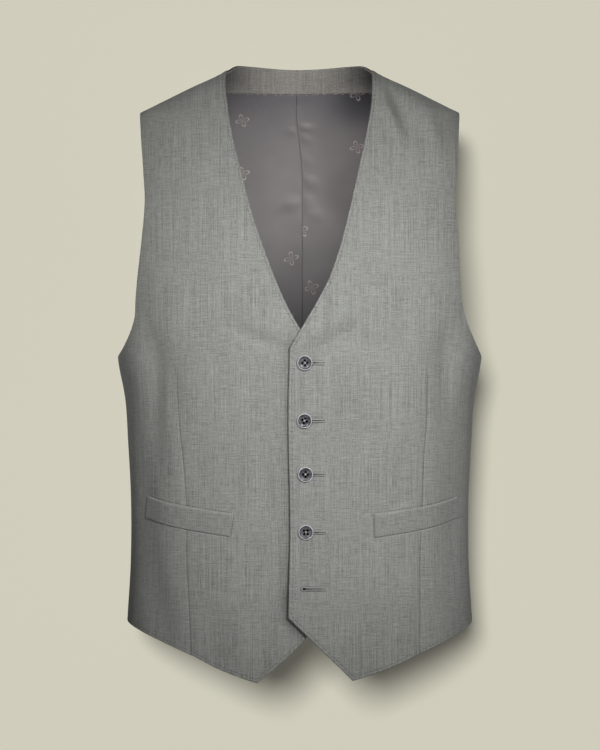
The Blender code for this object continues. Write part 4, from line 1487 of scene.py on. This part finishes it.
@dataclass
class WorkedHole:
    """A buttonhole on the left front: close stitches round a slit, a purled rim and a round eyelet."""

    front: Front
    hole: Buttonhole
    number: int
    reach: float = 0.00125
    step: float = 0.00046
    slit: float = 0.00078
    eyelet: float = 0.0012
    eyelet_run: float = 0.0007
    bight_start: float = 0.00060
    bight_rise: float = 0.00012
    bight_radius: float = 0.00021
    rim_rise: float = 0.00026
    rim_radius: float = 0.00020
    bar_radius: float = 0.00026

    def laid(self, x: Array, z: Array, raised: Any) -> Array:
        """Points over the left front at a breadth and a height."""
        return self.front.surface(FORM.angle_at(x, z), z, raised)

    def up(self, x: Array, z: Array) -> Array:
        """The left front's outward direction at a breadth and a height."""
        return self.front.outward(FORM.angle_at(x, z), z)

    def path(self, runs: Array, away: float) -> tuple[Array, Array, Array, Array]:
        """Places round the slit at a distance from it.

        Along the top, round the end, back along the bottom and round the eyelet, an oval that reaches
        1.2 mm further sideways than the distance and up to 0.2 mm further up.

        Args:
            runs: Parts of the whole round, 0 to 1.
            away: Distance from the slit.

        Returns:
            Breadths, heights, and the outward direction's breadth and height.
        """
        length = self.hole.end - self.hole.eye - self.eyelet
        end, eye = np.pi * away, np.pi * (away + self.eyelet_run)
        total = 2 * length + end + eye
        run = runs * total
        x, z, out_x, out_z = np.zeros((4, *run.shape))
        left = self.hole.eye + self.eyelet
        top = run < length
        x[top], z[top], out_z[top] = left + run[top], away, 1.0
        turn = (run >= length) & (run < length + end)
        a = (run[turn] - length) / away
        x[turn], z[turn] = self.hole.end + away * np.sin(a), away * np.cos(a)
        out_x[turn], out_z[turn] = np.sin(a), np.cos(a)
        low = (run >= length + end) & (run < 2 * length + end)
        x[low], z[low], out_z[low] = self.hole.end - (run[low] - length - end), -away, -1.0
        loop = run >= 2 * length + end
        a = (run[loop] - 2 * length - end) / (away + self.eyelet_run)
        x[loop] = left - (away + self.eyelet) * np.sin(a)
        z[loop] = -(away + 0.0004 * np.sin(a)) * np.cos(a)
        out_x[loop], out_z[loop] = -np.sin(a), -np.cos(a)
        return x, self.opened(x, z, away) + self.hole.height, out_x, out_z

    def sunk(self, x: Array) -> Array:
        """How far the stitches sink into the cloth, from 4 mm before the end to it."""
        return 0.00036 * smoothstep(self.hole.end - 0.004, self.hole.end, x)

    def opened(self, x: Array, z: Array, away: float) -> Array:
        """z drawn out by 0.55 mm round the eyelet and in by up to 0.38 mm towards the end."""
        part = np.clip((x - self.hole.eye) / (self.hole.end - self.hole.eye), 0, 1)
        wider = 0.00055 * bell(x - self.hole.eye - 0.0010, 0.0013) - 0.00038 * part
        return z * (away + wider) / away

    def build(self, thread: Material, dark: Material) -> Object:
        """Joins the stitches, the purled rim and the slit's painted shade in one piece."""
        around = 2 * (self.hole.end - self.hole.eye) + 2 * np.pi * self.eyelet
        count = int(around / self.step)
        x, z, out_x, out_z = self.path((np.arange(count) + 0.5) / count, self.bight_start + self.reach / 2)
        centres = self.laid(x, z, self.bight_rise - self.sunk(x))
        ahead = self.laid(x + out_x * 1e-3, z + out_z * 1e-3, self.bight_rise - self.sunk(x))
        uneven = 1 + 0.08 * np.sin(np.arange(count) * 2.4) + 0.05 * np.sin(np.arange(count) * 0.71)
        bights = stitches(centres, unit(ahead - centres), self.up(x, z), self.reach * uneven,
                          self.bight_radius)

        stations = 121
        x, z, _, _ = self.path(np.linspace(0, 1, stations), self.slit)
        wave = 0.00003 * np.sin(np.arange(stations) * 2.1)
        line = self.laid(x, z, self.rim_rise - self.sunk(x) + wave)
        rim = tubes(line[None], self.up(x, z)[:1], np.full((1, stations), self.rim_radius))

        bar_x = self.hole.end + np.array([0.00045, 0.00080, 0.00115])
        bar_z = np.full(3, self.hole.height)
        upright = unit(self.front.slopes(FORM.angle_at(bar_x, bar_z), bar_z)[1])
        bar = stitches(self.laid(bar_x, bar_z, -0.00004), upright, self.up(bar_x, bar_z),
                       2 * self.reach, self.bar_radius)
        slit = self._slit()
        sewn = bights + rim + bar
        data = sewn + slit
        data.finish = np.concatenate([np.zeros(len(sewn.faces)), np.ones(len(slit.faces))])
        made = data.build(f"buttonhole_{self.number}", thread, dark)
        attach(made, "root")
        return made

    def _slit(self) -> MeshData:
        """Painted shade: a dark sliver down the slit and a dark disc in the eyelet, just over the cloth."""
        x = mixed(self.hole.eye, self.hole.end - 0.0004, np.linspace(0, 1, 25))
        half = self.opened(x, np.full(x.shape, self.slit), self.slit)
        z = self.hole.height + np.linspace(-1, 1, 3)[:, None] * half
        sliver = self.laid(np.broadcast_to(x, z.shape), z, 0.00010)
        turn = np.linspace(0, 2 * np.pi, 17)
        radius = np.array([0.02, 0.5, 1.0])[:, None] * 0.00125
        z = self.hole.height + radius * np.sin(turn)
        disc = self.laid(self.hole.eye + 0.0006 + radius * np.cos(turn), z, 0.00012)
        first, second = (MeshData(points.reshape(-1, 3), grid_faces(*points.shape[:2])[:, ::-1])
                         for points in (sliver, disc))
        return first + second


@dataclass(frozen=True)
class ButtonPlace:
    """Where a button sits: breadth, height, turn in degrees and front."""

    breadth: float
    height: float
    turn: float
    side: Side


BUTTONS = (ButtonPlace(0.0050, -0.2976, 48, Side.LEFT), ButtonPlace(0.0047, -0.3538, 26, Side.LEFT),
           ButtonPlace(0.0057, -0.4067, 45, Side.LEFT), ButtonPlace(0.0060, -0.4639, 4, Side.LEFT),
           ButtonPlace(0.0045, -0.5197, 30, Side.RIGHT))


@dataclass
class Button:
    """A four-hole horn button with a raised rim round a dished face, and its thread."""

    place: ButtonPlace
    number: int
    radius: float = 0.0075
    height: float = 0.0030
    hole_radius: float = 0.00126
    hole_floor: float = 0.0003
    hole_turns: tuple[float, ...] = (45, 135, 225, 315)
    ring: float = 0.00236
    thread_radius: float = 0.00014
    thread_apart: float = 0.00012
    thread_crossing: float = 0.00020
    profile: tuple[tuple[float, float], ...] = (
        (0.00, 0.00), (0.60, 0.00), (0.80, 0.03), (0.92, 0.12), (0.975, 0.30), (1.0, 0.52), (0.995, 0.70),
        (0.978, 0.84), (0.950, 0.94), (0.915, 0.99), (0.880, 0.98), (0.850, 0.93), (0.822, 0.85),
        (0.785, 0.745), (0.73, 0.660), (0.66, 0.600), (0.57, 0.562), (0.46, 0.545), (0.25, 0.540),
        (0.00, 0.540))

    def seat(self) -> Matrix:
        """The matrix that seats the button's flat side on its front."""
        height = np.array([self.place.height])
        angle = FORM.angle_at(np.array([self.place.breadth * self.place.side.value]), height)
        lap = self.place.side.value * 0.5 * lap_parting(height)
        normal = FORM.normals(angle, height)[0] * self.place.side.mirror
        point = FORM.points(angle, height)[0] * self.place.side.mirror + normal * (lap + GAP)
        facing = Vector(normal.tolist()).to_track_quat("Z", "Y").to_matrix().to_4x4()
        turn = Matrix.Rotation(math.radians(self.place.turn), 4, "Z")
        return Matrix.Translation(point.tolist()) @ facing @ turn

    def disc(self, sides: int = 72) -> MeshData:
        """The profile turned about the button's axis: radius times (cos t, sin t), height."""
        reach, rise = np.array(self.profile).T
        turn = turns(sides)
        radii, levels = reach[1:-1, None] * self.radius, rise[1:-1, None] * self.height
        rings = np.stack([radii * np.cos(turn), radii * np.sin(turn),
                          np.broadcast_to(levels, (len(levels), sides))], axis=-1)
        points = np.concatenate([rings.reshape(-1, 3), [[0, 0, 0], [0, 0, rise[-1] * self.height]]])
        index = np.arange(len(levels) * sides).reshape(-1, sides)
        turned = np.roll(index, -1, axis=1)
        faces = np.stack([index[:-1], turned[:-1], turned[1:], index[1:]], axis=-1).reshape(-1, 4)
        under = fan(turned[0], index[0], len(points) - 2)
        over = fan(index[-1], turned[-1], len(points) - 1)
        return MeshData(points, np.concatenate([faces, under, over]))

    def drills(self, sides: int = 20) -> MeshData:
        """Four round pins into the disc, one for each hole."""
        turn = turns(sides)
        index = np.arange(sides)
        after = np.roll(index, -1)
        wall = np.stack([index, after, after + sides, index + sides], axis=-1)
        under = fan(after, index, 2 * sides)
        over = fan(index + sides, after + sides, 2 * sides + 1)
        ends = (self.hole_floor, self.height + 0.001)
        pins = []
        for at in map(math.radians, self.hole_turns):
            x = self.ring * math.cos(at) + self.hole_radius * np.cos(turn)
            y = self.ring * math.sin(at) + self.hole_radius * np.sin(turn)
            low, high = (np.stack([x, y, np.full(sides, end)], axis=-1) for end in ends)
            centres = np.array([[x.mean(), y.mean(), end] for end in ends])
            pins.append(MeshData(np.concatenate([low, high, centres]), np.concatenate([wall, under, over])))
        return sum(pins[1:], start=pins[0])

    def build(self, horn: Material, dark: Material, thread: Material) -> Object:
        """Drills the disc, lines its holes with the dark finish for painted shade and seats it, then sews it
        on.
        """
        seat = self.seat()
        blank = self.disc().build(f"blank_{self.number}", horn)
        pins = self.drills().build(f"pins_{self.number}", horn)
        cut = blank.modifiers.new("holes", "BOOLEAN")
        cut.operation, cut.solver, cut.object = "DIFFERENCE", "EXACT", pins
        graph = bpy.context.evaluated_depsgraph_get()
        mesh = bpy.data.meshes.new_from_object(blank.evaluated_get(graph))
        for spare in (blank, pins):
            bpy.data.objects.remove(spare, do_unlink=True)
        mesh.name = f"horn_button_{self.number}"
        points = np.empty(len(mesh.vertices) * 3)
        mesh.vertices.foreach_get("co", points)
        x, y, z = points.reshape(-1, 3).T
        reach = np.hypot(x, y) / self.radius
        # A thin ring on the rim's crest for the painted highlight.
        rim = smoothstep(0.83, 0.89, reach) * smoothstep(0.998, 0.975, reach)
        mesh.attributes.new("rim", "FLOAT", "POINT").data.foreach_set("value", rim.astype(np.float32))
        centres = np.empty(len(mesh.polygons) * 3)
        mesh.polygons.foreach_get("center", centres)
        x, y, z = centres.reshape(-1, 3).T
        at = np.radians(self.hole_turns)[:, None]
        to_hole = np.hypot(x - self.ring * np.cos(at), y - self.ring * np.sin(at)).min(axis=0)
        # The holes' walls and floors take the dark finish: painted shade.
        throat = (to_hole < self.hole_radius * 1.02) & (z < self.height * 0.5)
        mesh.materials.append(dark)
        mesh.polygons.foreach_set("material_index", throat.astype(np.int32))
        mesh.transform(seat)
        mesh.shade_smooth()
        mesh.set_sharp_from_angle(angle=math.radians(38))
        made = placed(mesh.name, mesh)
        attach(made, "root")
        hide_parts(f"button_{self.number}")
        self.sew(seat, thread)
        return made

    def sew(self, seat: Matrix, thread: Material) -> Object:
        """Two crossed pairs of threads between the holes."""
        stations = 13
        part = np.linspace(-1, 1, stations)
        reach = self.ring - 0.0012
        rise = self.height * 0.54 + 0.00040 * np.clip(1 - part**2, 0, 1) ** 0.5
        rise = rise - 0.0011 * smoothstep(0.72, 1.0, np.abs(part))
        turns = np.radians([45, 45, 135, 135])[:, None]
        offsets = np.array([-self.thread_apart, self.thread_apart] * 2)[:, None]
        over = np.repeat([0.0, self.thread_crossing], 2)[:, None]
        lines = np.stack([part * reach * np.cos(turns) - offsets * np.sin(turns),
                          part * reach * np.sin(turns) + offsets * np.cos(turns), rise + over], axis=-1)
        data = tubes(lines, np.tile([0.0, 0.0, 1.0], (4, 1)), np.full((4, stations), self.thread_radius))
        matrix = np.array(seat)
        data.points = data.points @ matrix[:3, :3].T + matrix[:3, 3]
        made = data.build(f"button_thread_{self.number}", thread)
        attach(made, "root")
        return made


# ---- studio


@dataclass
class Studio:
    """A pale backdrop and floor, the camera and soft light."""

    pale: Triple = (0.631, 0.610, 0.503)
    wall_y: float = 0.125
    wall_reach: float = 0.60
    wall_top: float = 0.25
    floor_z: float = -0.75
    floor_reach: float = 9.0
    eye: Triple = (0.0003, -3.315, -0.3096)
    lens: float = 156.7

    def camera(self) -> None:
        """A level camera 3.2 m from the front, framed on the waistcoat."""
        data = bpy.data.cameras.new("camera")
        data.sensor_fit = "VERTICAL"
        data.sensor_height = data.sensor_width = 36.0
        data.lens = self.lens
        data.clip_end = 50.0
        made = placed("camera", data)
        made.location = self.eye
        made.rotation_euler = (math.radians(90), 0, 0)
        bpy.context.scene.camera = made

    def plain(self, name: str, glow: float, reflect: float, one_sided: bool) -> Material:
        """A pale matt surface that partly glows, clear from behind if it is one-sided."""
        g = Graph(name)
        colour = tuple(value / max(self.pale) * reflect for value in self.pale)
        g.set(Base_Color=colour, Roughness=1.0, Specular_IOR_Level=0.0, Emission_Color=self.pale,
              Emission_Strength=glow)
        if one_sided:
            clear = g.node("ShaderNodeBsdfTransparent").outputs[0]
            behind = g.node("ShaderNodeNewGeometry").outputs["Backfacing"]
            shown = g.node("ShaderNodeMixShader", None, {0: behind, 1: g.shader.outputs[0], 2: clear})
            g.feed(g.tree.nodes["Material Output"].inputs["Surface"], shown.outputs[0])
        return g.material

    def sheet(self, name: str, corners: Sequence[Triple], material: Material) -> Object:
        """A flat sheet that neither lights the cloth nor shows in it."""
        made = MeshData(np.array(corners), np.array([[0, 1, 2, 3]])).build(name, material)
        made.visible_diffuse = made.visible_glossy = made.visible_transmission = False
        return made

    def stage(self) -> tuple[Object, Object]:
        """The backdrop and the floor."""
        x, low, high, reach = self.wall_reach, self.floor_z, self.wall_top, self.floor_reach
        y = self.wall_y
        upright = [(-x, y, low), (x, y, low), (x, y, high), (-x, y, high)]
        level = [(-reach, -reach, low), (reach, -reach, low), (reach, reach, low), (-reach, reach, low)]
        wall_finish = self.plain("backdrop_pale", glow=0.16, reflect=0.30, one_sided=True)
        floor_finish = self.plain("floor_pale", glow=0.92, reflect=0.15, one_sided=False)
        wall, floor = self.sheet("backdrop", upright, wall_finish), self.sheet("floor", level, floor_finish)
        return wall, floor

    def light(self, name: str, kind: str, place: Triple,
              target: Triple, power: float, size: float,
              lit: bpy.types.Collection, shading: bpy.types.Collection | None = None,
              **settings: Any) -> Object:
        """One lamp that points from its place at a target.

        Args:
            name: The lamp's name.
            kind: SUN, SPOT or AREA.
            place: Where it stands.
            target: Where it points.
            power: Its energy, in watts but for a sun.
            size: A sun's angle, a disc's breadth or a spot's radius.
            lit: The pieces that it lights.
            shading: The pieces that throw shadows in its light, or none for all.
            settings: Other settings of the lamp.

        Returns:
            The lamp.
        """
        data = bpy.data.lights.new(name, kind)
        data.energy = power
        if kind == "SUN":
            data.angle = size
        elif kind == "AREA":
            data.shape = "DISK"
            data.size = size
        else:
            data.shadow_soft_size = size
        for key, value in settings.items():
            setattr(data, key, value)
        made = placed(name, data)
        made.location = place
        made.rotation_euler = (Vector(target) - Vector(place)).to_track_quat("-Z", "Y").to_euler()
        made.light_linking.receiver_collection = lit
        if shading is not None:
            made.light_linking.blocker_collection = shading
        return made

    def lights(self, stage: Sequence[Object], backs: Sequence[Object], insides: Sequence[Object]) -> None:
        """A key from the upper right, a weaker one from the left, a fill, and lamps for some pieces alone.

        Args:
            stage: What only the stage's own sun lights.
            backs: What the lamp behind lights.
            insides: What the broad lamp lights in place of the key.
        """
        names = ("stage_only", "cloth", "backs", "insides", "felling", "facing")
        only, without, behind, inner, felling, facing = (bpy.data.collections.new(name) for name in names)
        groups = ((only, stage), (without, (*stage, *backs, *insides)), (behind, backs), (inner, insides),
                  (felling, insides[-2:-1]), (facing, insides[-1:]))
        for group, pieces in groups:
            for piece in pieces:
                group.objects.link(piece)
        for linked in without.collection_objects:
            linked.light_linking.link_state = "EXCLUDE"
        self.light("stage_sun", "SUN", (0, 0, 0), (0.100, 1.0, -0.175), power=5.50,
                   size=math.radians(12), lit=only)
        self.light("key", "SPOT", (1.03, -2.89, 0.50), (-0.002, 0, -0.378), power=213.0, size=0.12,
                   lit=without, spot_size=0.279, spot_blend=1.0)
        self.light("second", "SPOT", (-0.60, -2.70, 0.30), (0.08, 0, -0.125), power=113.0, size=0.15,
                   lit=without, spot_size=0.39, spot_blend=1.0)
        self.light("fill", "SUN", (0, 0, 0), (0.76, 0.62, -0.20), power=0.21, size=math.radians(80),
                   lit=without)
        self.light("behind", "AREA", (-1.2, 2.4, 1.1), (0, 0, -0.3), power=48.0, size=1.2,
                   lit=behind, shading=behind)
        self.light("broad", "AREA", (0.35, -2.60, 0.15), (0.0, 0, -0.15), power=21.5, size=2.2,
                   lit=inner, color=(0.93, 0.95, 1.0))
        self.light("lining_spot", "SPOT", (1.30, -2.20, 0.55), (0.003, 0.1, -0.103), power=278.0,
                   size=0.10, lit=inner, shading=felling, spot_size=0.079, spot_blend=1.0,
                   color=(1.0, 0.905, 0.84))
        self.light("neck_spot", "SPOT", (0.08, -2.62, 0.45), (0.002, 0.08, 0.012), power=80.0,
                   size=0.03, lit=facing, shading=facing, spot_size=0.112, spot_blend=1.0)

    def world(self, ambient: float = 0.045) -> None:
        """A pale surround for the camera and a dimmer one for everything else."""
        world = bpy.data.worlds.new("studio")
        world.use_nodes = True
        nodes, links = world.node_tree.nodes, world.node_tree.links
        base = nodes["Background"]
        base.inputs[0].default_value = (1.0, 0.985, 0.96, 1.0)
        base.inputs[1].default_value = ambient
        seen = nodes.new("ShaderNodeBackground")
        seen.inputs[0].default_value = (*self.pale, 1.0)
        mix = nodes.new("ShaderNodeMixShader")
        path = nodes.new("ShaderNodeLightPath")
        links.new(path.outputs["Is Camera Ray"], mix.inputs[0])
        links.new(base.outputs[0], mix.inputs[1])
        links.new(seen.outputs[0], mix.inputs[2])
        links.new(mix.outputs[0], nodes["World Output"].inputs[0])
        bpy.context.scene.world = world

    def build(self, backs: Sequence[Object], insides: Sequence[Object]) -> None:
        """Sets up the whole studio."""
        self.camera()
        self.lights(self.stage(), backs, insides)
        self.world()
        bpy.context.scene.view_settings.view_transform = "Standard"


# ---- the whole


def report(made: Object) -> Object:
    """Reports a finished piece and hands it on."""
    LOG.info("%s: %d points", made.name, len(made.data.vertices))
    return made


def main() -> None:
    """Builds the studio and every piece, and reports each."""
    logging.basicConfig(level=logging.INFO, format="%(message)s", stream=sys.stdout)
    # The welts' copy of the suiting is a little darker: painted shade.
    darker_welt_cloth = Suiting(colour=(0.330, 0.335, 0.313)).build()
    neck_cloth = Suiting(name="suit_cloth_neck", colour=(0.335, 0.325, 0.300)).build()
    left_cloth = Suiting(name="suit_cloth_left", stitched=True, holed=True).build()
    right_cloth = Suiting(name="suit_cloth_right", stitched=True).build()
    satin = Satin().build()
    plain_satin = Satin(name="satin_plain", figured=False).build()
    horn = Horn().build()
    stitch_thread = Thread("stitch_thread", (0.46, 0.462, 0.445)).build()
    hole_thread = Thread("buttonhole_thread", (0.47, 0.47, 0.455)).build()
    button_thread = Thread("button_thread", (0.80, 0.80, 0.78)).build()
    fell_thread = Thread("fell_thread", (0.72, 0.68, 0.66)).build()
    # Near black for painted shade in the buttonholes and the buttons' holes.
    painted_hole_shade = Thread("painted_hole_shade", (0.003, 0.003, 0.003), sheen=0.0).build()
    # Painted shadow over the welts' mouths and painted light under them.
    shadow_thread = Thread("welt_shadow", (0.075, 0.077, 0.070), sheen=0.0).build()
    lit_thread = Thread("welt_lit", (0.50, 0.505, 0.475)).build()

    fronts = {side: Front(side) for side in Side}
    for side, front in fronts.items():
        report(front.build(left_cloth if side is Side.LEFT else right_cloth, plain_satin))
        report(front.pick_stitches(stitch_thread))
        welt = Welt(front)
        report(welt.build(darker_welt_cloth))
        report(welt.end_stitches(stitch_thread))
        report(welt.outline(shadow_thread, lit_thread))
    backs, insides = [], []
    for side in Side:
        backs.append(report(Back(side).build(plain_satin)))
        insides.append(report(BackLining(side).build(satin)))
    neck = NeckFacing(Side.LEFT)
    insides.append(report(neck.fell_stitches(fell_thread)))
    insides.append(report(neck.build(neck_cloth)))
    for number, hole in enumerate(BUTTONHOLES, start=1):
        report(WorkedHole(fronts[Side.LEFT], hole, number).build(hole_thread, painted_hole_shade))
    for number, place in enumerate(BUTTONS, start=1):
        report(Button(place, number).build(horn, painted_hole_shade, button_thread))
    Studio().build(backs, insides)
    LOG.info("studio")


if __name__ == "__main__":
    main()
